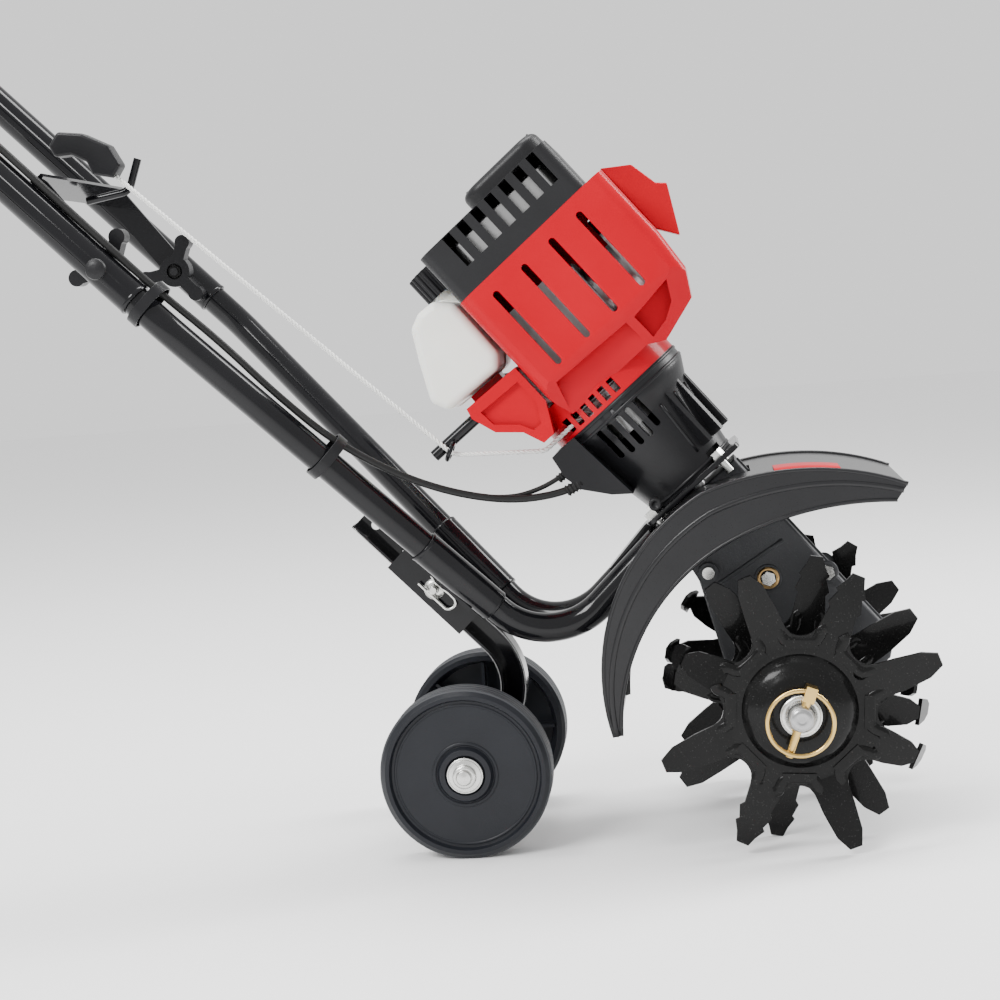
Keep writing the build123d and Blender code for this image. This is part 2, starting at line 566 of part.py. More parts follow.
def make_tine(name, y_face, outward, phase, bends):
    """One stamped star tine: disc, dome, hub tube and eight bent teeth."""
    with BuildPart() as tine:
        with BuildSketch(SIDE.offset(-y_face)):
            with Locations((TINE_X, TINE_Z)):
                Circle(ROOT_RADIUS)
                with PolarLocations(ROOT_RADIUS + 11.5, TINE_TEETH, start_angle=phase + 180 / TINE_TEETH):
                    Circle(14.5, mode=Mode.SUBTRACT)
        extrude(amount=-outward * TINE_PLATE)
        for index in range(TINE_TEETH):
            angle = radians(phase + index * 360 / TINE_TEETH)
            radial = Vector(cos(angle), 0, sin(angle))
            style = TOOTH_STYLES[index % 4]
            bend = radians(bends[style])
            leaned = radial * cos(bend) + Vector(0, outward * sin(bend), 0)
            face = Vector(0, outward * cos(bend), 0) - radial * sin(bend)
            root = Vector(TINE_X, y_face, TINE_Z) + radial * (ROOT_RADIUS - 6.0)
            with BuildSketch(Plane(origin=root, x_dir=leaned, z_dir=face)):
                with BuildLine():
                    Polyline(*tooth_points(style), close=True)
                make_face()
            extrude(amount=TINE_PLATE)
            if style == "folded":
                fold = bend + radians(55) * (1 if bend >= 0 else -1)
                knee = root + leaned * (TOOTH_LENGTH * 0.70)
                fold_dir = radial * cos(fold) + Vector(0, outward * sin(fold), 0)
                fold_face = Vector(0, outward * cos(fold), 0) - radial * sin(fold)
                with BuildSketch(Plane(origin=knee, x_dir=fold_dir, z_dir=fold_face)):
                    with BuildLine():
                        Polyline((0, -10), (12, -8), (18, -4), (18, 4), (12, 8), (0, 10), close=True)
                    make_face()
                extrude(amount=TINE_PLATE)
        with BuildSketch(Plane(origin=(TINE_X, 0, TINE_Z), x_dir=(1, 0, 0), z_dir=(0, 0, 1))):
            with BuildLine():
                low, high = y_face, y_face + outward * (DOME_RISE + TINE_PLATE)
                Polyline((SHAFT_RADIUS + CLEARANCE, low + outward * (DOME_RISE - 1)),
                         (24, low + outward * DOME_RISE), (33, low + outward * (DOME_RISE - 5)),
                         (DOME_RADIUS - 1, low), (DOME_RADIUS + 3, low),
                         (DOME_RADIUS + 3, low + outward * TINE_PLATE), (35, high - outward * 5), (25, high),
                         (HUB_RADIUS, high), (HUB_RADIUS, high + outward * 4),
                         (SHAFT_RADIUS + CLEARANCE, high + outward * 4), close=True)
            make_face()
        revolve(axis=Axis((TINE_X, 0, TINE_Z), (0, 1, 0)))
        with BuildSketch(SIDE.offset(-y_face + outward * 2)):
            with Locations((TINE_X, TINE_Z)):
                Circle(DOME_RADIUS - 5)
        extrude(amount=-outward * 7, mode=Mode.SUBTRACT)
        with BuildSketch(SIDE.offset(-y_face - outward * (TINE_PLATE - 0.5))):
            with Locations((TINE_X, TINE_Z)):
                with PolarLocations(48, TINE_TEETH, start_angle=phase + 180 / TINE_TEETH):
                    Rectangle(6, 24)
        extrude(amount=-outward * 2)
        spare = radians(phase + SPARE_HOLE_ANGLE)
        with BuildSketch(SIDE.offset(-y_face - outward * 6)):
            with Locations((TINE_X + SPARE_HOLE_AT * cos(spare), TINE_Z + SPARE_HOLE_AT * sin(spare))):
                Circle(SPARE_HOLE_RADIUS)
        extrude(amount=12 * outward, mode=Mode.SUBTRACT)
    save(name, tine)


OUTER_BENDS = {"plain": 9, "notched": 0, "folded": -14}
INNER_BENDS = {"plain": 7, "notched": 0, "folded": -10}
make_tine("tine_outer_right", -OUTER_TINE_Y, -1, 18.7, OUTER_BENDS)
make_tine("tine_inner_right", -INNER_TINE_Y, -1, 33.7, INNER_BENDS)
make_tine("tine_inner_left", INNER_TINE_Y, 1, 33.7, INNER_BENDS)
make_tine("tine_outer_left", OUTER_TINE_Y, 1, 11.3, OUTER_BENDS)

RING_RADIUS = 23.0
RING_WIRE = 1.6
RING_BESIDE = 4.9            # from the middle of the pin out to the middle of the ring
RING_PIVOT = 20.0            # from the middle of the shaft up to the eye of the pin head
EYE_CLEARANCE = 0.5
ACROSS_PIN = LYNCH_DIR.cross(Vector(0, 1, 0))
with BuildPart() as lynch_pins:
    for hand in (1, -1):
        pin_middle = Vector(TINE_X, hand * LYNCH_Y, TINE_Z)
        with BuildSketch(Plane(origin=pin_middle - LYNCH_DIR * 29, z_dir=LYNCH_DIR)):
            Circle(LYNCH_RADIUS)
        extrude(amount=46)
        with BuildSketch(Plane(origin=pin_middle + LYNCH_DIR * 13, x_dir=(0, 1, 0), z_dir=LYNCH_DIR)):
            with Locations((hand * 2, 0)):
                Rectangle(13, 8)
        extrude(amount=11)
        ring_pivot = pin_middle + LYNCH_DIR * RING_PIVOT
        with BuildSketch(Plane(origin=ring_pivot, x_dir=(0, 1, 0), z_dir=ACROSS_PIN)):
            with Locations((hand * RING_BESIDE, 0)):
                Circle(RING_WIRE + EYE_CLEARANCE)
        extrude(amount=8, both=True, mode=Mode.SUBTRACT)
save("lynch_pins", lynch_pins)

for side, hand in SIDES.items():
    ring_centre = Vector(TINE_X, hand * (LYNCH_Y + RING_BESIDE), TINE_Z)
    ring_centre += LYNCH_DIR * (RING_PIVOT - RING_RADIUS)
    with BuildPart() as lynch_ring:
        with BuildSketch(Plane(origin=ring_centre, x_dir=LYNCH_DIR, z_dir=ACROSS_PIN)):
            with Locations((RING_RADIUS, 0)):
                Circle(RING_WIRE)
        revolve(axis=Axis(ring_centre, (0, 1, 0)))
    save("lynch_ring_" + side, lynch_ring)

# ================================================================ tine guard
GUARD_THICK = 3.0
GUARD_REAR = (fore(111), 83)
GUARD_KNEE = (fore(185), 258)
GUARD_CREST = (fore(246), 270.5)
GUARD_FRONT = (fore(332), 256)
SKIRT_REAR = (fore(116), 84)
SKIRT_KNEE = (fore(200), 221)
SKIRT_FRONT = (fore(324), 245)


def guard_edge(drop=0.0):
    """Outer line of the guard in side view, or the same line this much lower down."""
    knee = (GUARD_KNEE[0] + drop / 2, GUARD_KNEE[1] - drop)
    ThreePointArc((GUARD_REAR[0] + drop, GUARD_REAR[1]), (fore(111) + drop, 163), knee)
    ThreePointArc(knee, (GUARD_CREST[0], GUARD_CREST[1] - drop),
                  (GUARD_FRONT[0] - drop, GUARD_FRONT[1] - drop))


with BuildPart() as guard:
    with BuildSketch(SIDE):
        with BuildLine():
            guard_edge()
            Line(GUARD_FRONT, (GUARD_FRONT[0] - GUARD_THICK, GUARD_FRONT[1] - GUARD_THICK))
            guard_edge(GUARD_THICK)
            Line((GUARD_REAR[0] + GUARD_THICK, GUARD_REAR[1]), GUARD_REAR)
        make_face()
    extrude(amount=GUARD_HALF, both=True)
    for hand in (1, -1):
        with BuildSketch(SIDE.offset(-hand * GUARD_HALF)):
            with BuildLine():
                guard_edge()
                Line(GUARD_FRONT, SKIRT_FRONT)
                ThreePointArc(SKIRT_FRONT, (fore(258), 241), SKIRT_KNEE)
                ThreePointArc(SKIRT_KNEE, (fore(147), 176), SKIRT_REAR)
                Line(SKIRT_REAR, GUARD_REAR)
            make_face()
        extrude(amount=hand * GUARD_THICK)
    with BuildSketch(ENGINE.offset(-60)):
        with Locations((-4, 0)):
            Rectangle(81, 49)
    extrude(amount=70, mode=Mode.SUBTRACT)
    with BuildSketch(Plane.XY.offset(120)):
        with Locations((fore(118), 0)):
            Rectangle(80, 72)
    extrude(amount=160, mode=Mode.SUBTRACT)
save("guard", guard)

# ================================================================ drive shaft and clutch drum
WORM_RADIUS = 14.6
WORM_ROOT = 11.2
WORM_THREADS = 7
WORM_LEAD = radians(180) * GEAR_MODULE
DRUM_RADIUS = 30.0
DRUM_LOW, DRUM_HIGH = 58.0, 82.0
with BuildPart() as drive_shaft:
    with BuildSketch(ENGINE.offset(SHAFT_FOOT + 0.3)):
        Circle(DRIVE_RADIUS)
    extrude(amount=DRUM_LOW - SHAFT_FOOT)
    with BuildSketch(ENGINE.offset(TINE_S - WORM_HALF)):
        Circle(WORM_ROOT)
    extrude(amount=2 * WORM_HALF)
    for thread in range(WORM_THREADS):
        ridge = TINE_S + (thread - WORM_THREADS / 2 + 0.5) * WORM_LEAD
        with BuildSketch(ENGINE_SIDE):
            with BuildLine():
                Polyline((WORM_ROOT - 1, ridge - 2.2), (WORM_RADIUS, ridge - 0.9), (WORM_RADIUS, ridge + 0.9),
                         (WORM_ROOT - 1, ridge + 2.2), close=True)
            make_face()
        revolve(axis=Axis(ENGINE_ORIGIN, S_DIR))
    with BuildSketch(ENGINE.offset(DRUM_LOW)):
        Circle(DRUM_RADIUS)
    extrude(amount=DRUM_HIGH - DRUM_LOW)
    with BuildSketch(ENGINE.offset(DRUM_LOW + 3)):
        Circle(DRUM_RADIUS - 2.5)
    extrude(amount=DRUM_HIGH - DRUM_LOW, mode=Mode.SUBTRACT)
save("drive_shaft", drive_shaft)

# ================================================================ clutch housing
HOUSING_TOP = 84.0
HOUSING_INSIDE = ((0, 8), (33, 8), (36, 14), (44.5, 60), (51, 74), (51, HOUSING_TOP + 1),
                  (0, HOUSING_TOP + 1))
HOUSING_OUTSIDE = ((0, 0.2), (38, 0.2), (40, 12), (48.5, 60), (57, 74), (57, HOUSING_TOP), (0, HOUSING_TOP))
SCOOP_NEAR, SCOOP_FAR = 50.0, 30.0
with BuildPart() as clutch_housing:
    with BuildSketch(ENGINE_SIDE):
        with BuildLine():
            Polyline(*HOUSING_OUTSIDE, close=True)
        make_face()
    revolve(axis=Axis(ENGINE_ORIGIN, S_DIR))
    with BuildSketch(ENGINE_SIDE.offset(-SCOOP_FAR)):
        with BuildLine():
            Polyline((-36, 24), (-48, 34), (-62, 52), (-65, 66), (-62, HOUSING_TOP), (-40, HOUSING_TOP),
                     close=True)
        make_face()
    extrude(amount=SCOOP_NEAR + SCOOP_FAR)
    with BuildSketch(ENGINE.offset(14)):
        with PolarLocations(42, 5, start_angle=-50, angular_range=100):
            Rectangle(16, 4)
    extrude(amount=50)
    with BuildSketch(ENGINE_SIDE):
        with BuildLine():
            Polyline(*HOUSING_INSIDE, close=True)
        make_face()
    revolve(axis=Axis(ENGINE_ORIGIN, S_DIR), mode=Mode.SUBTRACT)
    with BuildSketch(ENGINE_SIDE.offset(-SCOOP_FAR + 3)):
        with BuildLine():
            Polyline((-40, 36), (-48, 40), (-58, 54), (-61, 66), (-58, HOUSING_TOP + 1), (-40, HOUSING_TOP + 1),
                     close=True)
        make_face()
    extrude(amount=SCOOP_NEAR + SCOOP_FAR - 6, mode=Mode.SUBTRACT)
    with BuildSketch(ENGINE.offset(-1)):
        Circle(DRIVE_BORE)
        with Locations(*MOUNT_BOLTS):
            Circle(8)
    extrude(amount=10, mode=Mode.SUBTRACT)
    with BuildSketch(ENGINE_SIDE.offset(20)):
        with Locations((-24, 62), (-15, 60), (-6, 60), (3, 60), (12, 62)):
            SlotOverall(28, 4.6, rotation=90)
    extrude(amount=60, mode=Mode.SUBTRACT)
save("clutch_housing", clutch_housing)

# ================================================================ starter housing
RING_INSIDE = 51.0
RING_TOP = 112.0
BOSS_RADIUS = 12.0
BOSS_BORE = 8.6
BRACKET = ((-83, 153), (-36, 151), (-36, 118), (-48, 96), (-58, 96), (-64, 112), (-79, 126), (-85, 145))
BRACKET_INSIDE = ((-79, 160), (-40, 160), (-40, 122), (-54, 116), (-62, 118), (-75, 129))
BRACKET_RECESS = ((-77, 144), (-42, 142), (-42, 121), (-50, 108), (-57, 108), (-62, 118), (-76, 131))
BRACKET_NEAR, BRACKET_FAR = 55.0, 31.0
RECESS_DEPTH = 3.5
with BuildPart() as starter_housing:
    with BuildSketch(ENGINE.offset(HOUSING_TOP)):
        Circle(57)
        Circle(RING_INSIDE, mode=Mode.SUBTRACT)
    extrude(amount=RING_TOP - HOUSING_TOP)
    with BuildSketch(ENGINE_SIDE.offset(-BRACKET_FAR)):
        with BuildLine():
            Polyline(*BRACKET, close=True)
        make_face()
    extrude(amount=BRACKET_NEAR + BRACKET_FAR)
    with BuildSketch(ENGINE_SIDE.offset(-BRACKET_FAR + 3)):
        with BuildLine():
            Polyline(*BRACKET_INSIDE, close=True)
        make_face()
    extrude(amount=BRACKET_NEAR + BRACKET_FAR - 9, mode=Mode.SUBTRACT)
    with BuildSketch(ENGINE_SIDE.offset(BRACKET_NEAR - RECESS_DEPTH)):
        with BuildLine():
            Polyline(*BRACKET_RECESS, close=True)
        make_face()
    extrude(amount=2 * RECESS_DEPTH, mode=Mode.SUBTRACT)
    with BuildSketch(ENGINE.offset(HOUSING_TOP - 1)):
        Circle(RING_INSIDE)
    extrude(amount=RING_TOP - HOUSING_TOP + 2, mode=Mode.SUBTRACT)
    with BuildSketch(ENGINE_SIDE.offset(-12)):
        with BuildLine():
            Polyline((-82, 126), (-52, 114), (-52, 158), (-80, 159), close=True)
        make_face()
    extrude(amount=24)
    with BuildSketch(ENGINE.offset(HOUSING_TOP)):
        Circle(RING_INSIDE + 1)
        Circle(BOSS_BORE, mode=Mode.SUBTRACT)
    extrude(amount=2)
    with BuildSketch(ENGINE.offset(HOUSING_TOP)):
        Circle(BOSS_RADIUS)
        Circle(BOSS_BORE, mode=Mode.SUBTRACT)
    extrude(amount=12)
    with BuildSketch(ENGINE_SIDE.offset(30)):
        for slot in range(6):
            with Locations((-37 + slot * 9, 92.5)):
                Rectangle(5, 11)
    extrude(amount=40, mode=Mode.SUBTRACT)
    with BuildSketch(Plane(origin=engine_point(-70, 91, -38), x_dir=S_DIR, z_dir=U_DIR)):
        Rectangle(9, 10)
    extrude(amount=42, mode=Mode.SUBTRACT)
save("starter_housing", starter_housing)

PULLEY_RADIUS = 34.0
with BuildPart() as recoil_pulley:
    with BuildSketch(ENGINE_SIDE):
        with BuildLine():
            Polyline((BOSS_RADIUS + CLEARANCE, 86.6), (PULLEY_RADIUS + 4, 86.6), (PULLEY_RADIUS + 4, 87.8),
                     (PULLEY_RADIUS, 88.6), (PULLEY_RADIUS, 93.4), (PULLEY_RADIUS + 4, 94.2),
                     (PULLEY_RADIUS + 4, 95.4),
                     (BOSS_RADIUS + CLEARANCE, 95.4), close=True)
        make_face()
    revolve(axis=Axis(ENGINE_ORIGIN, S_DIR))
save("recoil_pulley", recoil_pulley)

# ================================================================ crankshaft and engine block
CRANK_RADIUS = 6.0
CRANK_THROW = 12.0
with BuildPart() as crankshaft:
    with BuildSketch(ENGINE.offset(62)):
        Circle(CRANK_RADIUS)
    extrude(amount=72)
    with BuildSketch(ENGINE.offset(64)):
        Circle(15)
        with PolarLocations(16, 2):
            Rectangle(16, 24)
    extrude(amount=14)
    with BuildSketch(ENGINE.offset(98.5)):
        Circle(47)
        with PolarLocations(42, 12):
            Rectangle(12, 3, mode=Mode.SUBTRACT)
    extrude(amount=11)
    with BuildSketch(ENGINE.offset(132)):
        Circle(22)
    extrude(amount=8)
    with BuildSketch(ENGINE.offset(138)):
        with Locations((CRANK_THROW, 0)):
            Circle(CRANK_RADIUS)
    extrude(amount=22)
    with BuildSketch(ENGINE.offset(158)):
        Circle(22)
    extrude(amount=8)
    with BuildSketch(ENGINE.offset(164)):
        Circle(CRANK_RADIUS)
    extrude(amount=22)
save("crankshaft", crankshaft)

BORE_S = 149.0
BORE_RADIUS = 16.0
CYLINDER = Plane(origin=engine_point(0, BORE_S), x_dir=(0, 1, 0), z_dir=U_DIR)
with BuildPart() as engine_block:
    with BuildSketch(ENGINE.offset(116)):
        RectangleRounded(56, 60, 8)
    extrude(amount=68)
    with BuildSketch(CYLINDER):
        Circle(23)
    extrude(amount=96)
    for fin in range(8):
        with BuildSketch(CYLINDER.offset(34 + fin * 8)):
            RectangleRounded(72, 62 if fin < 6 else 44, 9)
        extrude(amount=2)
    with BuildSketch(CYLINDER):
        Circle(BORE_RADIUS)
    extrude(amount=86, mode=Mode.SUBTRACT)
    with BuildSketch(ENGINE.offset(128)):
        Circle(24)
    extrude(amount=42, mode=Mode.SUBTRACT)
    with BuildSketch(ENGINE.offset(110)):
        Circle(CRANK_RADIUS + CLEARANCE)
    extrude(amount=80, mode=Mode.SUBTRACT)
save("engine_block", engine_block)

# ================================================================ engine shroud
SHROUD_TOP = 211.0
SHROUD_LOW = 97.0
CREASE_S = 126.0
SHROUD_WALL = 2.6
SHROUD_REAR, SHROUD_FORE = -33.0, 107.0
SLOT_U = (-8.0, 20.0, 47.0, 74.0)
SLOT_LOW, SLOT_HIGH = 130.0, 200.0
LIP_LOW = 90.0
SHROUD_SIDE = ((SHROUD_REAR, SHROUD_TOP), (SHROUD_FORE, SHROUD_TOP), (SHROUD_FORE, 150), (104, 120), (92, 100),
               (58, LIP_LOW), (46, SHROUD_LOW), (-28, SHROUD_LOW), (SHROUD_REAR, 116))
SHROUD_FRONT = ((-SHROUD_HALF, SHROUD_TOP + 1), (SHROUD_HALF, SHROUD_TOP + 1), (SHROUD_HALF, CREASE_S),
                (SHROUD_HALF - 22, LIP_LOW - 1), (22 - SHROUD_HALF, LIP_LOW - 1), (-SHROUD_HALF, CREASE_S))
LONG_POCKET = ((-27, 101), (46, 101), (46, 119), (-20, 122))
LIP_POCKET = ((53, 98), (68, 101), (80, 108), (88, 122), (53, 118))
with BuildPart() as engine_shroud:
    with BuildSketch(ENGINE_SIDE):
        with BuildLine():
            Polyline(*SHROUD_SIDE, close=True)
        make_face()
    extrude(amount=SHROUD_HALF, both=True)
    fillet(engine_shroud.edges().filter_by(lambda edge: abs((edge % 0).dot(S_DIR)) > 0.95), 11)
    with BuildSketch(ENGINE_FRONT):
        with BuildLine():
            Polyline(*SHROUD_FRONT, close=True)
        make_face()
    extrude(amount=130, both=True, mode=Mode.INTERSECT)
    with BuildSketch(ENGINE.offset(CREASE_S - 1)):
        with Locations(((SHROUD_REAR + SHROUD_FORE) / 2, 0)):
            RectangleRounded(SHROUD_FORE - SHROUD_REAR - 2 * SHROUD_WALL, 2 * (SHROUD_HALF - SHROUD_WALL), 8.4)
    extrude(amount=SHROUD_TOP - CREASE_S + 2, mode=Mode.SUBTRACT)
    with BuildSketch(ENGINE.offset(LIP_LOW - 1)):
        with Locations((29.5, 0)):
            Rectangle(119, 98)
    extrude(amount=CREASE_S + 4 - LIP_LOW, mode=Mode.SUBTRACT)
    with BuildSketch(ENGINE.offset(LIP_LOW - 1)):
        Circle(57.02)
    extrude(amount=RING_TOP - LIP_LOW + 1.02, mode=Mode.SUBTRACT)
    for floor, pocket in ((57.8, LONG_POCKET), (52.0, LIP_POCKET)):
        for hand in (1, -1):
            with BuildSketch(ENGINE_SIDE.offset(hand * floor)):
                with BuildLine():
                    Polyline(*pocket, close=True)
                make_face()
            extrude(amount=hand * 30, mode=Mode.SUBTRACT)
    with BuildSketch(ENGINE_SIDE):
        for u in SLOT_U:
            with Locations((u, (SLOT_LOW + SLOT_HIGH) / 2)):
                SlotOverall(SLOT_HIGH - SLOT_LOW, 5.2, rotation=90)
    extrude(amount=SHROUD_HALF + 2, both=True, mode=Mode.SUBTRACT)
    with BuildSketch(Plane(origin=engine_point(SHROUD_FORE - 8, 178, 11), z_dir=U_DIR)):
        Circle(7.5)
    extrude(amount=12, mode=Mode.SUBTRACT)
save("engine_shroud", engine_shroud)

# ================================================================ muffler cover and muffler
COVER_HIGH = 254.0
COVER_SLOTS = 7
COVER_PITCH = 13.8
SLAB_HIGH = 270.0
CAP_U, CAP_Y = -45.0, 25.0
CAP_RADIUS = 14.5
with BuildPart() as muffler_cover:
    with BuildSketch(ENGINE.offset(SHROUD_TOP)):
        with Locations((30, 0)):
            RectangleRounded(124, 2 * SHROUD_HALF, 9)
    extrude(amount=COVER_HIGH - SHROUD_TOP)
    with BuildSketch(ENGINE.offset(COVER_HIGH)):
        with Locations((54, 8)):
            RectangleRounded(72, 96, 16)
    extrude(amount=SLAB_HIGH - COVER_HIGH)
    fillet(muffler_cover.faces().sort_by(Axis(ENGINE_ORIGIN, S_DIR))[-1].edges(), 6)
    with BuildSketch(ENGINE.offset(SHROUD_TOP - 1)):
        with Locations((30, 0)):
            RectangleRounded(118, 2 * SHROUD_HALF - 6, 6)
    extrude(amount=COVER_HIGH - SHROUD_TOP - 2, mode=Mode.SUBTRACT)
    with BuildSketch(ENGINE_SIDE):
        for slot in range(COVER_SLOTS):
            with Locations((-6 + slot * COVER_PITCH, 240)):
                Rectangle(7, 27)
    extrude(amount=SHROUD_HALF + 2, mode=Mode.SUBTRACT)
    with BuildSketch(ENGINE.offset(SHROUD_TOP - 1)):
        with Locations((CAP_U, CAP_Y)):
            Circle(CAP_RADIUS + 3)
    extrude(amount=COVER_HIGH - SHROUD_TOP + 3, mode=Mode.SUBTRACT)
save("muffler_cover", muffler_cover)

with BuildPart() as muffler:
    with BuildSketch(ENGINE.offset(214)):
        with Locations((34, -34)):
            RectangleRounded(96, 50, 10)
    extrude(amount=32)
    fillet(muffler.edges().filter_by(GeomType.LINE), 3)
    with BuildSketch(Plane(origin=engine_point(62, 182, -34), z_dir=S_DIR)):
        RectangleRounded(18, 14, 4)
    extrude(amount=33)
    with BuildSketch(ENGINE_SIDE):
        with BuildLine():
            Polyline((54, 184), (70, 184), (70, 180.2), (54, 180.2), close=True)
        make_face()
    extrude(amount=34)
save("muffler", muffler)

# ================================================================ fuel tank
TANK_HALF = 52.0
TANK_WALL = 2.4
TANK_SIDE = ((-48, 228), (-37, 216), (-38, 168), (-46, 158.6), (-94, 160.6), (-100, 175), (-87, 201), (-74, 224),
             (-62, 229))
NECK_RADIUS = 9.0
NECK_TOP = 240.0
with BuildPart() as fuel_tank:
    with BuildSketch(ENGINE_SIDE) as tank_outline:
        with BuildLine():
            Polyline(*TANK_SIDE, close=True)
        make_face()
        fillet(tank_outline.vertices(), 8)
    extrude(amount=TANK_HALF, both=True)
    fillet(fuel_tank.faces().filter_by(Axis.Y).edges(), 7)
    with BuildSketch(ENGINE.offset(205)):
        with Locations((CAP_U, CAP_Y)):
            Circle(NECK_RADIUS)
    extrude(amount=NECK_TOP - 205)
    with BuildSketch(ENGINE_SIDE):
        with BuildLine():
            Polyline(*TANK_SIDE, close=True)
        make_face()
        offset(amount=-2 * TANK_WALL, kind=Kind.INTERSECTION, mode=Mode.REPLACE)
    extrude(amount=TANK_HALF - 2 * TANK_WALL, both=True, mode=Mode.SUBTRACT)
    with BuildSketch(ENGINE.offset(200)):
        with Locations((CAP_U, CAP_Y)):
            Circle(NECK_RADIUS - 2)
    extrude(amount=NECK_TOP - 199, mode=Mode.SUBTRACT)
save("fuel_tank", fuel_tank)

with BuildPart() as fuel_cap:
    with BuildSketch(ENGINE.offset(233.5)):
        with Locations((CAP_U, CAP_Y)):
            Circle(CAP_RADIUS - 1.2)
            with PolarLocations(CAP_RADIUS - 1.6, 16):
                Circle(1.6)
    extrude(amount=23)
    with BuildSketch(ENGINE.offset(233)):
        with Locations((CAP_U, CAP_Y)):
            Circle(NECK_RADIUS + 0.1)
    extrude(amount=7.2, mode=Mode.SUBTRACT)
save("fuel_cap", fuel_cap)

# ================================================================ spark plug, carburettor, air filter
with BuildPart() as plug_guard:
    with BuildSketch(ENGINE_SIDE.offset(-26)):
        with BuildLine():
            Polyline((SHROUD_FORE, 217), (126, 203), (130, 181), (136, 175), (117, 140), (SHROUD_FORE, 156),
                     close=True)
        make_face()
    extrude(amount=30)
    with BuildSketch(ENGINE_SIDE.offset(-23)):
        with BuildLine():
            Polyline((SHROUD_FORE - 1, 222), (110, 217), (123, 202), (127, 180), (131, 175), (116, 146),
                     (SHROUD_FORE - 1, 160), close=True)
        make_face()
    extrude(amount=24, mode=Mode.SUBTRACT)
save("plug_guard", plug_guard)

with BuildPart() as plug_boot:
    with BuildSketch(Plane(origin=engine_point(98, 178, 11), z_dir=U_DIR)):
        Circle(5)
    extrude(amount=12)
    with BuildSketch(Plane(origin=engine_point(116, 174, 11), z_dir=S_DIR)):
        Circle(6.4)
    extrude(amount=26)
    with BuildSketch(Plane(origin=engine_point(109, 178, 11), z_dir=U_DIR)):
        Circle(4)
    extrude(amount=6)
save("plug_boot", plug_boot)

CHOKE_PIN_RADIUS = 2.5
BULB_U, BULB_S = 10.0, 170.0
BULB_RADIUS = 9.0
with BuildPart() as carburettor:
    with BuildSketch(ENGINE_SIDE.offset(-SHROUD_HALF)):
        with Locations((2, 164)):
            RectangleRounded(44, 46, 4)
    extrude(amount=-20)
    with BuildSketch(ENGINE_SIDE.offset(-SHROUD_HALF - 19)):
        with Locations((-8, 152)):
            Circle(CHOKE_PIN_RADIUS)
    extrude(amount=-9)
    with BuildSketch(ENGINE_SIDE.offset(-SHROUD_HALF - 16)):
        with Locations((BULB_U, BULB_S)):
            Circle(BULB_RADIUS + 0.4)
    extrude(amount=-5, mode=Mode.SUBTRACT)
save("carburettor", carburettor)

with BuildPart() as primer_bulb:
    bulb_foot = engine_point(BULB_U, BULB_S, SHROUD_HALF + 19)
    with BuildSketch(Plane(origin=bulb_foot, x_dir=U_DIR, z_dir=(0, 1, 0))):
        Circle(BULB_RADIUS)
    extrude(amount=9, taper=18)
    fillet(primer_bulb.faces().sort_by(Axis.Y)[-1].edges(), 4)
save("primer_bulb", primer_bulb)

with BuildPart() as choke_lever:
    with BuildSketch(ENGINE_SIDE.offset(-SHROUD_HALF - 21)):
        with Locations((-8, 152)):
            Circle(6)
        with Locations((-18, 152)):
            Rectangle(22, 7)
        with Locations((-29, 152)):
            Circle(5)
        with Locations((-8, 152)):
            Circle(CHOKE_PIN_RADIUS + CLEARANCE, mode=Mode.SUBTRACT)
    extrude(amount=-4)
save("choke_lever", choke_lever)

with BuildPart() as air_filter_cover:
    with BuildSketch(ENGINE_SIDE.offset(-SHROUD_HALF)):
        with Locations((62, 168)):
            RectangleRounded(66, 62, 10)
    extrude(amount=-28)
    fillet(air_filter_cover.faces().sort_by(Axis.Y)[-1].edges(), 7)
save("air_filter_cover", air_filter_cover)

with BuildPart() as casing_screws:
    with BuildSketch(Plane(origin=engine_point(-30, 7, -46), z_dir=(0, 1, 0))):
        Circle(4.2)
    extrude(amount=2.2)
    with BuildSketch(ENGINE_SIDE.offset(-BOX_HALF - 5)):
        with Locations(*BOX_SCREWS):
            Circle(BOX_SCREW_RADIUS)
    extrude(amount=2 * BOX_HALF + 10)
    with BuildSketch(ENGINE_SIDE.offset(BOX_HALF)):
        with Locations(*BOX_SCREWS[1:]):
            RegularPolygon(5.6, 6)
    extrude(amount=7)
    with BuildSketch(ENGINE_SIDE.offset(BOX_HALF + 4)):
        with Locations(BOX_SCREWS[0]):
            Circle(4.6)
    extrude(amount=3)
save("casing_screws", casing_screws)

# ================================================================ starter rope, its guides and its grip
ROPE_RADIUS = 2.0
GUIDE_Y = -40.0
EYE = Vector(fore(4.0), GUIDE_Y, 296.0)
ROPE_TOP = Vector(fore(-247.0), 0, 526.0)
ROD_Y = -31.0
ROPE_ENTRY = engine_point(-63.0, 91.0, -37.4)
ROPE_END = engine_point(-2.0, 91.0, -PULLEY_RADIUS - ROPE_RADIUS - 0.2)
EYE_ROD_END = engine_point(-128, 144.6, ROD_Y)
EYE_ROD_START = engine_point(-85.5, 144, ROD_Y)
EYE_WIRE = 1.8
EYE_RING = 7.0
EYE_CENTRE = EYE + Vector(0.5, 0, 1.5)
rope_run = (EYE - ROPE_TOP).normalized()
HOOK_WIRE = 3.0
HOOK_Y = 7.0
HOOK_START = Vector(fore(-272.0), HOOK_Y, 508.0)
HOOK_TURN = Vector(fore(-238.0), HOOK_Y, 513.0)
HOOK_END = Vector(fore(-229.0), HOOK_Y, 537.0)
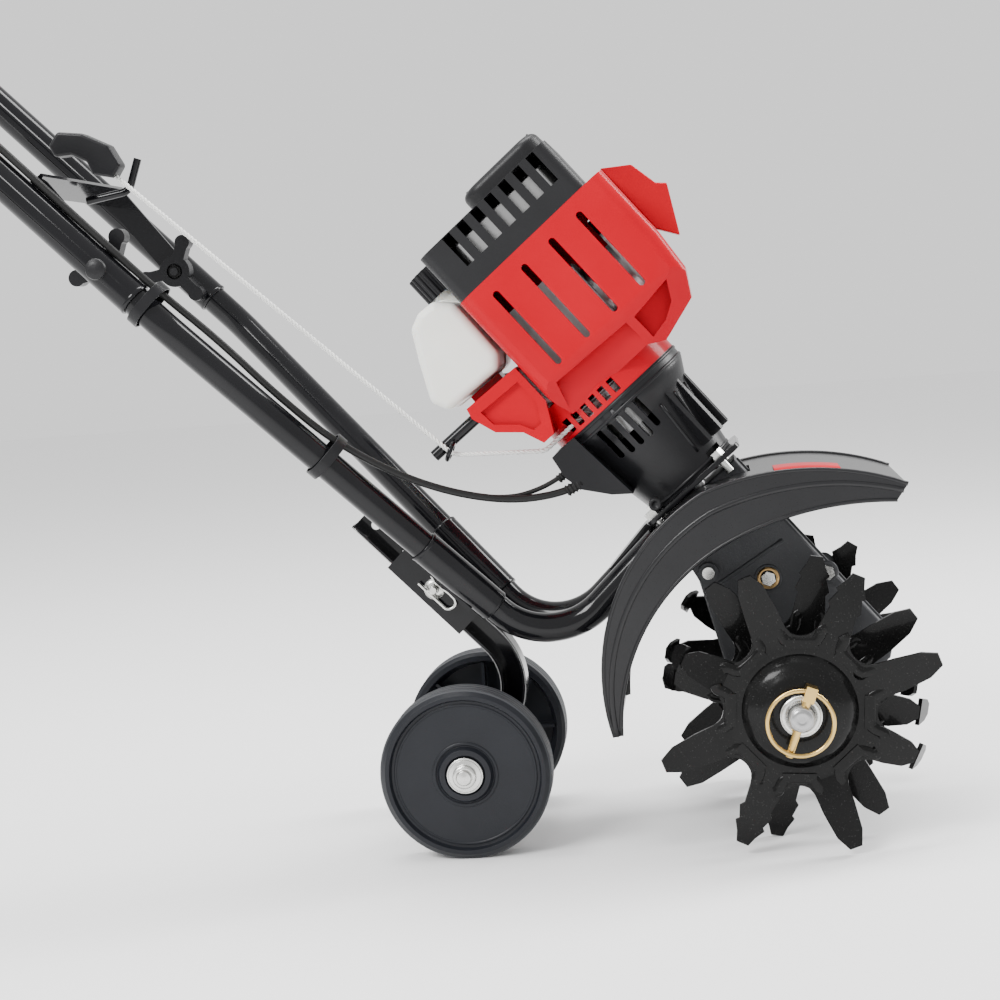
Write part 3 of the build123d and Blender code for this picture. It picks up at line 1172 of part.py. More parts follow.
with BuildPart() as rope_guides:
    with BuildSketch(Plane(origin=EYE_ROD_START, z_dir=EYE_ROD_END - EYE_ROD_START)):
        Circle(4.5)
    extrude(amount=(EYE_ROD_END - EYE_ROD_START).length)
    with BuildSketch(Plane(origin=EYE_CENTRE, x_dir=(0, 0, 1), z_dir=(0, 1, 0))):
        with Locations((EYE_RING, 0)):
            Circle(EYE_WIRE)
    revolve(axis=Axis(EYE_CENTRE, (1, 0, -0.45)))
    with BuildLine():
        FilletPolyline(HOOK_START, HOOK_TURN, HOOK_END, radius=10)
    with BuildSketch(Plane(origin=HOOK_START, z_dir=HOOK_TURN - HOOK_START)):
        Circle(HOOK_WIRE)
    sweep()
save("rope_guides", rope_guides)

GRIP_BAR = Vector(0.94, 0, -0.34)
with BuildPart() as starter_grip:
    with BuildSketch(Plane(origin=(fore(-265), 0, 545), x_dir=GRIP_BAR, z_dir=(0, -1, 0))) as grip_outline:
        with BuildLine():
            Polyline((-29, -4), (-25, 8), (-6, 12), (16, 9), (29, -3), (26, -14), (10, -16), (3, -8), (-10, -6),
                     (-22, -11), close=True)
        make_face()
        fillet(grip_outline.vertices(), 3.5)
    extrude(amount=9, both=True)
    fillet(starter_grip.faces().filter_by(Axis.Y).edges(), 2.5)
    with BuildSketch(Plane(origin=ROPE_TOP - rope_run * 6, z_dir=rope_run)):
        Circle(ROPE_RADIUS + 0.4)
    extrude(amount=20, mode=Mode.SUBTRACT)
save("starter_grip", starter_grip)


def make_cord(name, points, radius, limit):
    """A cord of straight runs and tangent arcs, no arc wider than the limit."""
    radii = [min(limit, widest) for widest in cord_radii(points)]
    with BuildPart() as cord:
        with BuildLine() as route:
            FilletPolyline(*points, radius=radii)
        with BuildSketch(Plane(origin=points[0], z_dir=points[1] - points[0])):
            Circle(radius)
        sweep()
    save(name, cord)
    length = sum(edge.length for edge in route.edges())
    print(name, "radii", [round(value, 1) for value in radii], "length", round(length, 1),
          "section x length", round(radians(180) * radius ** 2 * length), "volume", round(cord.part.volume))


make_cord("starter_rope", [ROPE_TOP - rope_run * 4, EYE, ROPE_ENTRY, ROPE_END], ROPE_RADIUS, 22.0)

# ================================================================ throttle
throttle_dir = Vector(ELBOW.X - KNEE.X, KNEE.Y - ELBOW.Y, ELBOW.Z - KNEE.Z).normalized()
THROTTLE_AT = Vector(KNEE.X, -KNEE.Y, KNEE.Z) + throttle_dir * 56
THROTTLE = Plane(origin=THROTTLE_AT, x_dir=(0, 1, 0), z_dir=throttle_dir)
UNDER = THROTTLE.y_dir
THROTTLE_LENGTH = 44.0
PIVOT = THROTTLE_AT + throttle_dir * 12 + UNDER * 22
PIVOT_RADIUS = 2.5
LEVER_TIP = Vector(PIVOT.X - 56, PIVOT.Y, PIVOT.Z + 22)
LEVER_HALF = 5.0
LEVER = Plane(origin=PIVOT, x_dir=LEVER_TIP - PIVOT, z_dir=(0, -1, 0))
with BuildPart() as throttle_housing:
    with BuildSketch(THROTTLE.offset(-THROTTLE_LENGTH / 2)):
        with Locations((0, 5)):
            RectangleRounded(36, 44, 9)
    extrude(amount=THROTTLE_LENGTH)
    with BuildSketch(THROTTLE.offset(-THROTTLE_LENGTH / 2 - 1)):
        Circle(SOCKET_RADIUS + CLEARANCE)
    extrude(amount=THROTTLE_LENGTH + 2, mode=Mode.SUBTRACT)
    with BuildSketch(LEVER):
        Circle(7.6)
        with Locations((20, -4)):
            Rectangle(40, 22)
    extrude(amount=LEVER_HALF + 0.4, both=True, mode=Mode.SUBTRACT)
    with BuildSketch(LEVER):
        Circle(PIVOT_RADIUS)
    extrude(amount=LEVER_HALF + 3, both=True)
    with BuildSketch(THROTTLE):
        with Locations((0, -17)):
            Rectangle(8.6, 9)
    extrude(amount=11, both=True, mode=Mode.SUBTRACT)
save("throttle_housing", throttle_housing)

with BuildPart() as throttle_trigger:
    with BuildSketch(LEVER):
        with BuildLine():
            Polyline((-5, -4), (0, -5.6), (30, -12), (58, -9), (60, -4), (56, -2), (30, -4), (8, 4), (0, 5.6),
                     (-5, 4), close=True)
        make_face()
        Circle(PIVOT_RADIUS + CLEARANCE, mode=Mode.SUBTRACT)
    extrude(amount=LEVER_HALF, both=True)
save("throttle_trigger", throttle_trigger)

with BuildPart() as stop_switch:
    with BuildSketch(THROTTLE.offset(-3)):
        with Locations((0, -19)):
            Rectangle(8, 11)
    extrude(amount=-7)
save("stop_switch", stop_switch)

# ================================================================ control cables and their clips
CABLE_RADIUS = 2.75
LEAD_RADIUS = 1.8
CABLE_GAP = 16.2
beside_tube = Vector(-UP_LINE.Z, 0, UP_LINE.X).normalized() * -1
cable_top = THROTTLE_AT - throttle_dir * (THROTTLE_LENGTH / 2) + UNDER * -20
over_knee = Vector(KNEE.X, -KNEE.Y - 2, KNEE.Z) + beside_tube * (CABLE_GAP + 2)
over_bolt = Vector(BOLT_X, -HANDLE_HALF - 2, BOLT_Z) + beside_tube * CABLE_GAP
CABLE_BENDS = ((-188.5, -108, 431.5), (-150, -98, 393), (-117.5, -84.5, 353.5), (-77, -72, 312), (-20, -60, 277),
               (38, -52, 260), (83, -48, 262))
CABLE_ROUTE = [cable_top, over_knee, over_bolt] + [Vector(fore(x), y, z) for x, y, z in CABLE_BENDS]
make_cord("throttle_cable", CABLE_ROUTE + [engine_point(-61, 56, -46)], CABLE_RADIUS, 400.0)
lead_shift = Vector(0, CABLE_RADIUS + LEAD_RADIUS + 0.5, 0)
LEAD_ROUTE = [point + lead_shift for point in CABLE_ROUTE[:-1]] + [Vector(fore(74), -43, 268)]
make_cord("stop_lead", LEAD_ROUTE + [engine_point(-62, 69, -40)], LEAD_RADIUS, 400.0)

STRAP_WIDTH = 8.0
lower_line = Vector(SOCKET_TOP.X - LOWER_BEND.X, LOWER_BEND.Y - SOCKET_TOP.Y, SOCKET_TOP.Z - LOWER_BEND.Z)
lower_line = lower_line.normalized()
lower_bend = Vector(LOWER_BEND.X, -LOWER_BEND.Y, LOWER_BEND.Z)
STRAPS = ((Vector(BOLT_X, -HANDLE_HALF, BOLT_Z) - UP_LINE * 42, UP_LINE, beside_tube),
          (lower_bend + lower_line * 147, lower_line, Vector(10.6, 3.9, 11.1)))
with BuildPart() as cable_clips:
    for middle, along, towards in STRAPS:
        strap = Plane(origin=middle - along * (STRAP_WIDTH / 2), x_dir=towards, z_dir=along)
        with BuildSketch(strap):
            with Locations((4.4, 0)):
                SlotOverall(2 * 14.2 + 8.8, 2 * 14.2)
                SlotOverall(2 * 12.8 + 8.8, 2 * 12.8, mode=Mode.SUBTRACT)
        extrude(amount=STRAP_WIDTH)
save("cable_clips", cable_clips)
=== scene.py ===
import json
from math import asin, atan2, cos, pi, radians, sin, sqrt, tan

import bmesh
import bpy
from mathutils import Matrix, Vector

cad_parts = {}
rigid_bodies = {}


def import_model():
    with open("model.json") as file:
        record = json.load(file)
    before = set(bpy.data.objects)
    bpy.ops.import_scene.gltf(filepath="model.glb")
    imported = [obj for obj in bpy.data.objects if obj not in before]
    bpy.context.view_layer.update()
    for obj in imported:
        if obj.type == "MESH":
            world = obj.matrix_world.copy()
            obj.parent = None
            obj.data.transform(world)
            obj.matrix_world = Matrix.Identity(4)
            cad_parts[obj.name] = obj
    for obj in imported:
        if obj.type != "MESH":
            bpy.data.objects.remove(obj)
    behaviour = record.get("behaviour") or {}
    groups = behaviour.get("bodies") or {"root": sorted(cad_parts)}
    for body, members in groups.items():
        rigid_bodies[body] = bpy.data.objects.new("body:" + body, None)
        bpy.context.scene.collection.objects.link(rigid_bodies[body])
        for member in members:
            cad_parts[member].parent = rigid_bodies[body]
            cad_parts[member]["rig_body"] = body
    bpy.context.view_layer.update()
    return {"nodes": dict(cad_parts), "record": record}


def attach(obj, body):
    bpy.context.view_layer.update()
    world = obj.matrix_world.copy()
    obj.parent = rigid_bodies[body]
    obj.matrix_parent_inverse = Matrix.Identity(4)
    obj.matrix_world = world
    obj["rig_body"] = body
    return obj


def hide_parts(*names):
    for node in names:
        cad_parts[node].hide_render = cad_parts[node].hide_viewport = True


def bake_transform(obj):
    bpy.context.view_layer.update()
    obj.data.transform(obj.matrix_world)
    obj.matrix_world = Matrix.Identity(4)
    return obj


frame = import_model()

MM = 0.001
NODES = frame["nodes"]

# ---------------------------------------------------------------- shared places, in millimetres
# X is forward, Y to the operator's left and Z up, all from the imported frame's origin.
AXLE_X, WHEEL_RADIUS = 175.0, 63.5
TINE_RADIUS = 104.8
TINE_X = AXLE_X + 245.0
TINE_Z = TINE_RADIUS * cos(radians(11.3) - asin(4.5 / TINE_RADIUS))
LEAN = radians(51.0)
ENGINE_X, ENGINE_Z = AXLE_X + 179.0, 263.4
U_DIR = Vector((sin(LEAN), 0, cos(LEAN)))
S_DIR = Vector((-cos(LEAN), 0, sin(LEAN)))
Y_DIR = Vector((0, 1, 0))
ORIGIN = Vector((ENGINE_X, 0, ENGINE_Z))
HANDLE_HALF = 110.3
BOLT = Vector((AXLE_X - 229.0, HANDLE_HALF, 451.0))
SOCKET_TOP = Vector((AXLE_X - 22.5, 53.0, 231.0))
FRAME_CORNER = Vector((AXLE_X + 65.4, 22.0, 136.7))
LOWER_BEND = SOCKET_TOP + (SOCKET_TOP - FRAME_CORNER) * ((HANDLE_HALF - 53.0) / 31.0)
UP_LINE = (BOLT - LOWER_BEND).normalized()
KNEE = BOLT + UP_LINE * 395.0
ELBOW = Vector((AXLE_X - 566.0, 140.0, 834.0))
GRIP_END = Vector((-516.16, 158.0, 860.0))
DOWN_LINE = Vector((cos(radians(46.9)), 0, -sin(radians(46.9))))


def ep(u, s, y=0.0):
    """Row-frame point, in millimetres, of engine coordinates."""
    return ORIGIN + U_DIR * u + S_DIR * s + Y_DIR * y


def on_side(point, hand):
    """The same place on the operator's left, hand 1, or right, hand -1."""
    return Vector((point.x, hand * point.y, point.z))


# ---------------------------------------------------------------- materials
def material(name, color, rough=0.4, metal=0.0, vary=0.12, grain=300.0, bump=0.05, coat=0.0, speckle=0.0,
             rough_vary=0.08, stretch=None, subsurface=0.0, specular=0.22):
    """Principled finish with noise in its colour, its roughness and its surface."""
    made = bpy.data.materials.new(name)
    made.use_nodes = True
    nodes, links = made.node_tree.nodes, made.node_tree.links
    nodes.clear()
    out = nodes.new("ShaderNodeOutputMaterial")
    shader = nodes.new("ShaderNodeBsdfPrincipled")
    links.new(shader.outputs[0], out.inputs[0])
    shader.inputs["Metallic"].default_value = metal
    shader.inputs["Coat Weight"].default_value = coat
    shader.inputs["Coat Roughness"].default_value = 0.06
    shader.inputs["Subsurface Weight"].default_value = subsurface
    shader.inputs["Subsurface Radius"].default_value = (0.01, 0.008, 0.006)
    shader.inputs["Specular IOR Level"].default_value = specular
    place = nodes.new("ShaderNodeTexCoord")
    mapping = nodes.new("ShaderNodeMapping")
    mapping.inputs["Scale"].default_value = stretch or (1, 1, 1)
    links.new(place.outputs["Object"], mapping.inputs[0])
    broad = nodes.new("ShaderNodeTexNoise")
    broad.inputs["Scale"].default_value = 18.0
    broad.inputs["Detail"].default_value = 6.0
    fine = nodes.new("ShaderNodeTexNoise")
    fine.inputs["Scale"].default_value = grain
    fine.inputs["Detail"].default_value = 4.0
    links.new(mapping.outputs[0], broad.inputs["Vector"])
    links.new(mapping.outputs[0], fine.inputs["Vector"])
    ramp = nodes.new("ShaderNodeValToRGB")
    low = [max(0.0, c * (1 - vary)) for c in color]
    high = [min(1.0, c * (1 + vary) + 0.002) for c in color]
    ramp.color_ramp.elements[0].position = 0.3
    ramp.color_ramp.elements[0].color = (*low, 1)
    ramp.color_ramp.elements[1].position = 0.7
    ramp.color_ramp.elements[1].color = (*high, 1)
    links.new(broad.outputs["Fac"], ramp.inputs[0])
    color_out = ramp.outputs[0]
    if speckle:
        dots = nodes.new("ShaderNodeTexNoise")
        dots.inputs["Scale"].default_value = 900.0
        dots.inputs["Detail"].default_value = 2.0
        links.new(mapping.outputs[0], dots.inputs["Vector"])
        gate = nodes.new("ShaderNodeMapRange")
        gate.inputs["From Min"].default_value = 0.66
        gate.inputs["From Max"].default_value = 0.74
        gate.inputs["To Max"].default_value = speckle
        links.new(dots.outputs["Fac"], gate.inputs["Value"])
        mix = nodes.new("ShaderNodeMix")
        mix.data_type = "RGBA"
        mix.inputs[7].default_value = (0.35, 0.35, 0.34, 1)
        links.new(gate.outputs[0], mix.inputs[0])
        links.new(color_out, mix.inputs[6])
        color_out = mix.outputs[2]
    links.new(color_out, shader.inputs["Base Color"])
    wear = nodes.new("ShaderNodeMapRange")
    wear.inputs["To Min"].default_value = max(0.02, rough - rough_vary)
    wear.inputs["To Max"].default_value = min(1.0, rough + rough_vary)
    links.new(fine.outputs["Fac"], wear.inputs["Value"])
    links.new(wear.outputs[0], shader.inputs["Roughness"])
    relief = nodes.new("ShaderNodeBump")
    relief.inputs["Strength"].default_value = bump
    relief.inputs["Distance"].default_value = 0.0006
    links.new(fine.outputs["Fac"], relief.inputs["Height"])
    links.new(relief.outputs[0], shader.inputs["Normal"])
    return made


MATERIALS = {
    "tube_black": material("tube_black", (0.004, 0.004, 0.005), 0.14, coat=0.22, grain=120, bump=0.03,
                           specular=0.14),
    "casting": material("casting", (0.045, 0.046, 0.049), 0.46, metal=0.25, grain=700, bump=0.35,
                        speckle=0.10),
    "tine_black": material("tine_black", (0.003, 0.003, 0.003), 0.24, coat=0.12, grain=500, bump=0.14,
                           speckle=0.10, specular=0.10),
    "plastic_black": material("plastic_black", (0.006, 0.006, 0.007), 0.33, grain=900, bump=0.12),
    "guard_black": material("guard_black", (0.008, 0.008, 0.009), 0.30, coat=0.15, grain=1100, bump=0.10),
    "cover_black": material("cover_black", (0.010, 0.010, 0.011), 0.38, grain=1300, bump=0.20),
    "shroud_red": material("shroud_red", (0.42, 0.0, 0.010), 0.22, coat=0.07, vary=0.04, grain=80,
                           bump=0.015, specular=0.05),
    "tank_white": material("tank_white", (0.80, 0.80, 0.75), 0.32, vary=0.03, grain=160, bump=0.06,
                           subsurface=0.35),
    "grip_rubber": material("grip_rubber", (0.016, 0.016, 0.016), 0.68, grain=1400, bump=0.3),
    "wheel_plastic": material("wheel_plastic", (0.008, 0.009, 0.012), 0.36, grain=900, bump=0.14),
    "wheel_tread": material("wheel_tread", (0.038, 0.040, 0.044), 0.50, grain=700, bump=0.30),
    "zinc": material("zinc", (0.60, 0.60, 0.58), 0.26, metal=1.0, grain=500, bump=0.06),
    "gold_zinc": material("gold_zinc", (0.56, 0.38, 0.13), 0.24, metal=1.0, grain=400, bump=0.05, vary=0.2),
    "shaft_steel": material("shaft_steel", (0.40, 0.40, 0.40), 0.30, metal=1.0, grain=600, bump=0.10,
                            stretch=(1, 8, 1)),
    "aluminium": material("aluminium", (0.62, 0.63, 0.64), 0.42, metal=1.0, grain=800, bump=0.25),
    "bronze": material("bronze", (0.50, 0.32, 0.14), 0.35, metal=1.0, grain=700, bump=0.2),
    "rope_white": material("rope_white", (0.78, 0.78, 0.76), 0.75, vary=0.06, grain=1600, bump=0.4),
    "cable_black": material("cable_black", (0.009, 0.009, 0.009), 0.40, grain=700, bump=0.10),
    "bulb_rubber": material("bulb_rubber", (0.55, 0.10, 0.03), 0.35, grain=300, bump=0.05, subsurface=0.3),
    "switch_red": material("switch_red", (0.60, 0.012, 0.010), 0.25, coat=0.4, grain=200, bump=0.03),
    # Bright metal for thin strips along the wheel arm's edges: painted highlights standing in for the light
    # those edges catch.
    "painted_edge_highlight": material("painted_edge_highlight", (0.30, 0.30, 0.30), 0.30, metal=1.0, grain=500, bump=0.06),
    "decal_red": material("decal_red", (0.42, 0.0, 0.010), 0.34, grain=500, bump=0.04, specular=0.05),
    "dark_gap": material("dark_gap", (0.004, 0.004, 0.004), 0.8, grain=400, bump=0.2),
    # Lighter than cover_black, which the slot floor really is: painted light on the shelf's lit face.
    "shelf_painted_light_grey": material("shelf_painted_light_grey", (0.016, 0.016, 0.018), 0.4, grain=600, bump=0.2),
}
SLOT_OF = {entry["node"]: entry["material_slot"] for entry in frame["record"]["subparts"]}
# Nodes whose finish is not that of their record slot, and edge rounding in millimetres.
FINISH = {"guard": "guard_black", "muffler_cover": "cover_black", "handle_bolts": "cover_black"}
BEVELS = {"engine_shroud": 1.4, "starter_housing": 1.0, "plug_guard": 1.2, "muffler_cover": 1.6, "guard": 1.0,
          "tine_outer_right": 0.55, "tine_inner_right": 0.55, "tine_inner_left": 0.55,
          "tine_outer_left": 0.55,
          "knob_left": 1.6, "knob_right": 1.6, "starter_grip": 1.2, "throttle_housing": 1.6,
          "throttle_trigger": 1.2, "clutch_housing": 0.9, "gearbox_left": 1.2, "gearbox_right": 1.2,
          "wheel_left": 0.8, "wheel_right": 0.8, "air_filter_cover": 1.0, "carburettor": 1.0,
          "cross_brace": 0.5, "depth_channel": 0.6, "wheel_arm": 0.6, "mount_plate": 0.6, "fuel_tank": 1.5,
          "axle": 0.5, "casing_screws": 0.5, "mount_bolts": 0.6}
for name, node in NODES.items():
    finish = MATERIALS[FINISH.get(name, SLOT_OF[name])]
    node.data.materials.clear()
    node.data.materials.append(finish)
    if "custom_normal" in node.data.attributes:
        node.data.attributes.remove(node.data.attributes["custom_normal"])
    for face in node.data.polygons:
        face.use_smooth = True
    weld = node.modifiers.new("weld", "WELD")
    weld.merge_threshold = 0.00002
    bevel = node.modifiers.new("edges", "BEVEL")
    bevel.width = BEVELS.get(name, 0.35) * MM
    bevel.segments = 3 if BEVELS.get(name, 0) >= 1.0 else 2
    bevel.limit_method = "ANGLE"
    bevel.angle_limit = radians(32)
    bevel.harden_normals = True
    bevel.use_clamp_overlap = True


# ---------------------------------------------------------------- builders
def place(obj, body, finish):
    """Link a piece, give it its finish and let it ride on its CAD body."""
    if obj.name not in bpy.context.scene.collection.objects:
        bpy.context.scene.collection.objects.link(obj)
    obj.data.materials.append(MATERIALS[finish])
    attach(obj, body)
    return obj


def route_curve(name, points, order=3):
    """Smooth open curve whose control points are the corners of a route."""
    curve = bpy.data.curves.new(name, "CURVE")
    curve.dimensions = "3D"
    spline = curve.splines.new("NURBS")
    spline.points.add(len(points) - 1)
    for item, point in zip(spline.points, points):
        item.co = (*point, 1)
    spline.order_u = order
    spline.use_endpoint_u = True
    spline.use_smooth = True
    return curve


def nurbs(name, points, radius, body, finish, order=3):
    """Smooth round wire through the corners of a route."""
    curve = route_curve(name, [point * MM for point in points], order)
    curve.bevel_depth = radius * MM
    curve.bevel_resolution = 6
    curve.resolution_u = 16
    curve.use_fill_caps = True
    return place(bpy.data.objects.new(name, curve), body, finish)


def spline_points(points):
    """Points read from the smooth line through the corners of a route."""
    curve = route_curve("route", points)
    curve.resolution_u = 64
    holder = bpy.data.objects.new("route", curve)
    read = bpy.data.meshes.new_from_object(holder)
    line = [vertex.co.copy() for vertex in read.vertices]
    bpy.data.objects.remove(holder)
    bpy.data.curves.remove(curve)
    bpy.data.meshes.remove(read)
    return line


def evenly(line, step):
    """Places at equal steps along a line of points."""
    places, at = [line[0]], step
    for first, last in zip(line, line[1:]):
        length = (last - first).length
        while at <= length:
            places.append(first.lerp(last, at / length))
            at += step
        at -= length
    return places


def mesh_object(name, bm, body, finish, smooth=True, bevel=0.0):
    """A finished mesh piece from bmesh data in millimetres."""
    bmesh.ops.scale(bm, vec=(MM, MM, MM), verts=bm.verts)
    bmesh.ops.recalc_face_normals(bm, faces=bm.faces)
    data = bpy.data.meshes.new(name)
    bm.to_mesh(data)
    bm.free()
    for face in data.polygons:
        face.use_smooth = smooth
    obj = place(bpy.data.objects.new(name, data), body, finish)
    if bevel:
        edges = obj.modifiers.new("edges", "BEVEL")
        edges.width = bevel * MM
        edges.segments = 2
        edges.limit_method = "ANGLE"
        edges.angle_limit = radians(32)
        edges.harden_normals = True
    return obj


def basis(axis, across=None):
    """Rotation whose local Z is the axis and whose local X is near to across."""
    z = Vector(axis).normalized()
    x = Vector(across) if across is not None else Vector((0, 0, 1)) if abs(z.z) < 0.9 else Vector((1, 0, 0))
    x = (x - z * x.dot(z)).normalized()
    y = z.cross(x)
    return Matrix((x, y, z)).transposed()


def add_turned(bm, centre, axis, profile, sides=48):
    """Turned solid from (radius, height) steps along the axis."""
    turn = basis(axis)
    rings = []
    for radius, height in profile:
        if radius < 1e-6:
            rings.append([bm.verts.new(centre + turn @ Vector((0, 0, height)))])
            continue
        rings.append([bm.verts.new(centre + turn @ Vector((radius * cos(2 * pi * k / sides),
                                                          radius * sin(2 * pi * k / sides), height)))
                      for k in range(sides)])
    for low, high in zip(rings, rings[1:]):
        for k in range(sides):
            a, b = low[k % len(low)], low[(k + 1) % len(low)]
            c, d = high[(k + 1) % len(high)], high[k % len(high)]
            corners = list(dict.fromkeys((a, b, c, d)))
            if len(corners) > 2:
                bm.faces.new(corners)


def add_prism(bm, outline, centre, axis, height, across=None):
    """Straight solid over a flat outline drawn at the centre, square to the axis."""
    turn = basis(axis, across)
    low = [bm.verts.new(centre + turn @ Vector((x, y, 0))) for x, y in outline]
    high = [bm.verts.new(centre + turn @ Vector((x, y, height))) for x, y in outline]
    bm.faces.new(low[::-1])
    bm.faces.new(high)
    for k in range(len(low)):
        bm.faces.new((low[k], low[(k + 1) % len(low)], high[(k + 1) % len(low)], high[k]))


def circle(radius, sides=24, x=0.0, y=0.0):
    """Corners of a round outline centred at x, y."""
    turns = [2 * pi * k / sides for k in range(sides)]
    return [(x + radius * cos(turn), y + radius * sin(turn)) for turn in turns]


def add_sweep(bm, route, section, up=Vector((0, 0, 1)), twist=0.0):
    """Solid of one section carried along a route; twist is turns per millimetre."""
    rings, travelled = [], 0.0
    frame_up = Vector(up)
    for index, point in enumerate(route):
        ahead = route[min(index + 1, len(route) - 1)] - route[max(index - 1, 0)]
        tangent = ahead.normalized()
        frame_up = (frame_up - tangent * frame_up.dot(tangent)).normalized()
        side = tangent.cross(frame_up)
        if index:
            travelled += (point - route[index - 1]).length
        angle = 2 * pi * twist * travelled
        rings.append([bm.verts.new(point + frame_up * (x * cos(angle) - y * sin(angle))
                                   + side * (x * sin(angle) + y * cos(angle))) for x, y in section])
    count = len(section)
    for low, high in zip(rings, rings[1:]):
        for k in range(count):
            bm.faces.new((low[k], low[(k + 1) % count], high[(k + 1) % count], high[k]))
    bm.faces.new(rings[0][::-1])
    bm.faces.new(rings[-1])


def arc(start, middle, end, steps=24):
    """Points along the arc through three flat points."""
    (ax, ay), (bx, by), (cx, cy) = start, middle, end
    d = 2 * (ax * (by - cy) + bx * (cy - ay) + cx * (ay - by))
    aa, bb, cc = ax * ax + ay * ay, bx * bx + by * by, cx * cx + cy * cy
    ox = (aa * (by - cy) + bb * (cy - ay) + cc * (ay - by)) / d
    oy = (aa * (cx - bx) + bb * (ax - cx) + cc * (bx - ax)) / d
    radius = sqrt((ax - ox) ** 2 + (ay - oy) ** 2)
    first, mid, last = (atan2(y - oy, x - ox) for x, y in (start, middle, end))
    sweep = (last - first) % (2 * pi)
    if (mid - first) % (2 * pi) > sweep:
        sweep -= 2 * pi
    return [(ox + radius * cos(first + sweep * k / steps), oy + radius * sin(first + sweep * k / steps))
            for k in range(steps + 1)]


def upright(points, y):
    """Flat X and Z points at this Y."""
    return [Vector((x, y, z)) for x, z in points]


# ---------------------------------------------------------------- cords
CABLE_RADIUS, LEAD_RADIUS = 2.75, 1.8
throttle_dir = Vector((ELBOW.x - KNEE.x, KNEE.y - ELBOW.y, ELBOW.z - KNEE.z)).normalized()
THROTTLE_AT = on_side(KNEE, -1) + throttle_dir * 56
throttle_across = (Y_DIR - throttle_dir * throttle_dir.y).normalized()
UNDER = throttle_dir.cross(throttle_across)
beside_tube = Vector((UP_LINE.z, 0, -UP_LINE.x)).normalized()
cable_top = THROTTLE_AT - throttle_dir * 22 - UNDER * 20
cable_route = [cable_top, Vector((KNEE.x, -KNEE.y - 2, KNEE.z)) + beside_tube * 18.2,
               Vector((BOLT.x, -HANDLE_HALF - 2, BOLT.z)) + beside_tube * 16.2]
for x, y, z in ((-188.5, -108, 431.5), (-150, -98, 393), (-117.5, -84.5, 353.5), (-77, -72, 312),
                (-20, -60, 277), (38, -52, 260), (83, -48, 262)):
    cable_route.append(Vector((AXLE_X + x, y, z)))
cable = nurbs("throttle_cable_sheath", cable_route + [ep(-61, 56, -46)], CABLE_RADIUS, "chassis",
              "cable_black")
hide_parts("throttle_cable")
lead_route = [point + Vector((0, CABLE_RADIUS + LEAD_RADIUS + 0.5, 0)) for point in cable_route[:-1]]
lead_route += [Vector((AXLE_X + 74, -43, 268)), ep(-62, 69, -40)]
lead = nurbs("stop_lead_sheath", lead_route, LEAD_RADIUS, "chassis", "cable_black")
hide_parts("stop_lead")

EYE = Vector((AXLE_X + 4, -40, 296))
ROPE_TOP = Vector((AXLE_X - 247, 0, 526))
rope_run = (EYE - ROPE_TOP).normalized()
after_eye = (ep(-63, 91, -37.4) - EYE).normalized()
rope_route = [ROPE_TOP - rope_run * 4, EYE - rope_run * 12, EYE, EYE + after_eye * 12, ep(-68, 94.6, -37.6),
              ep(-63, 91, -37.4), ep(-56, 91, -37.2), ep(-2, 91, -36.2)]
rope_line = evenly(spline_points(rope_route), 1.2)
bm = bmesh.new()
for strand in range(3):
    turn = 2 * pi * strand / 3
    section = circle(1.02, 8, 0.92 * cos(turn), 0.92 * sin(turn))
    add_sweep(bm, rope_line, section, twist=1 / 11.0)
rope = mesh_object("starter_rope_strands", bm, "chassis", "rope_white")
rope.parent = None
del rope["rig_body"]
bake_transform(rope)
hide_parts("starter_rope")

for name, centre, along, radius, length in (
        ("cable_boot", ep(-59, 55.6, -46), (ep(-61, 56, -46) - cable_route[-1]).normalized(), 4.6, 13),
        ("lead_boot", ep(-60, 68.4, -40), (ep(-62, 69, -40) - lead_route[-2]).normalized(), 3.6, 11),
        ("cable_gland", cable_top + throttle_dir * 1.5, throttle_dir, 4.4, 9)):
    bm = bmesh.new()
    profile = [(0, -length), (radius * 0.7, -length)]
    for rib in range(4):
        at = -length + (rib + 0.5) * length / 4.5
        profile += [(radius * 0.78, at - 0.8), (radius * 0.96, at - 0.5), (radius * 0.96, at + 0.5),
                    (radius * 0.78, at + 0.8)]
    profile += [(radius, 0), (0, 0)]
    add_turned(bm, centre, along, profile, 28)
    mesh_object(name, bm, "chassis", "cable_black")

# ---------------------------------------------------------------- tines
# One embossed rib of a tine: how far out from the shaft, and how far to the side.
RIB_LINE = [(59.5, -18), (58.5, -14.8), (53, -12.8), (48.8, -9.5), (48.8, 9.5), (53, 12.8), (58.5, 14.8),
            (59.5, 18)]


def smoothed(points, rounds):
    """Points with their corners cut, the ends kept."""
    for _ in range(rounds):
        cut = [points[0]]
        for (ax, ay), (bx, by) in zip(points, points[1:]):
            cut += [(ax * 0.75 + bx * 0.25, ay * 0.75 + by * 0.25),
                    (ax * 0.25 + bx * 0.75, ay * 0.25 + by * 0.75)]
        points = cut + [points[-1]]
    return points


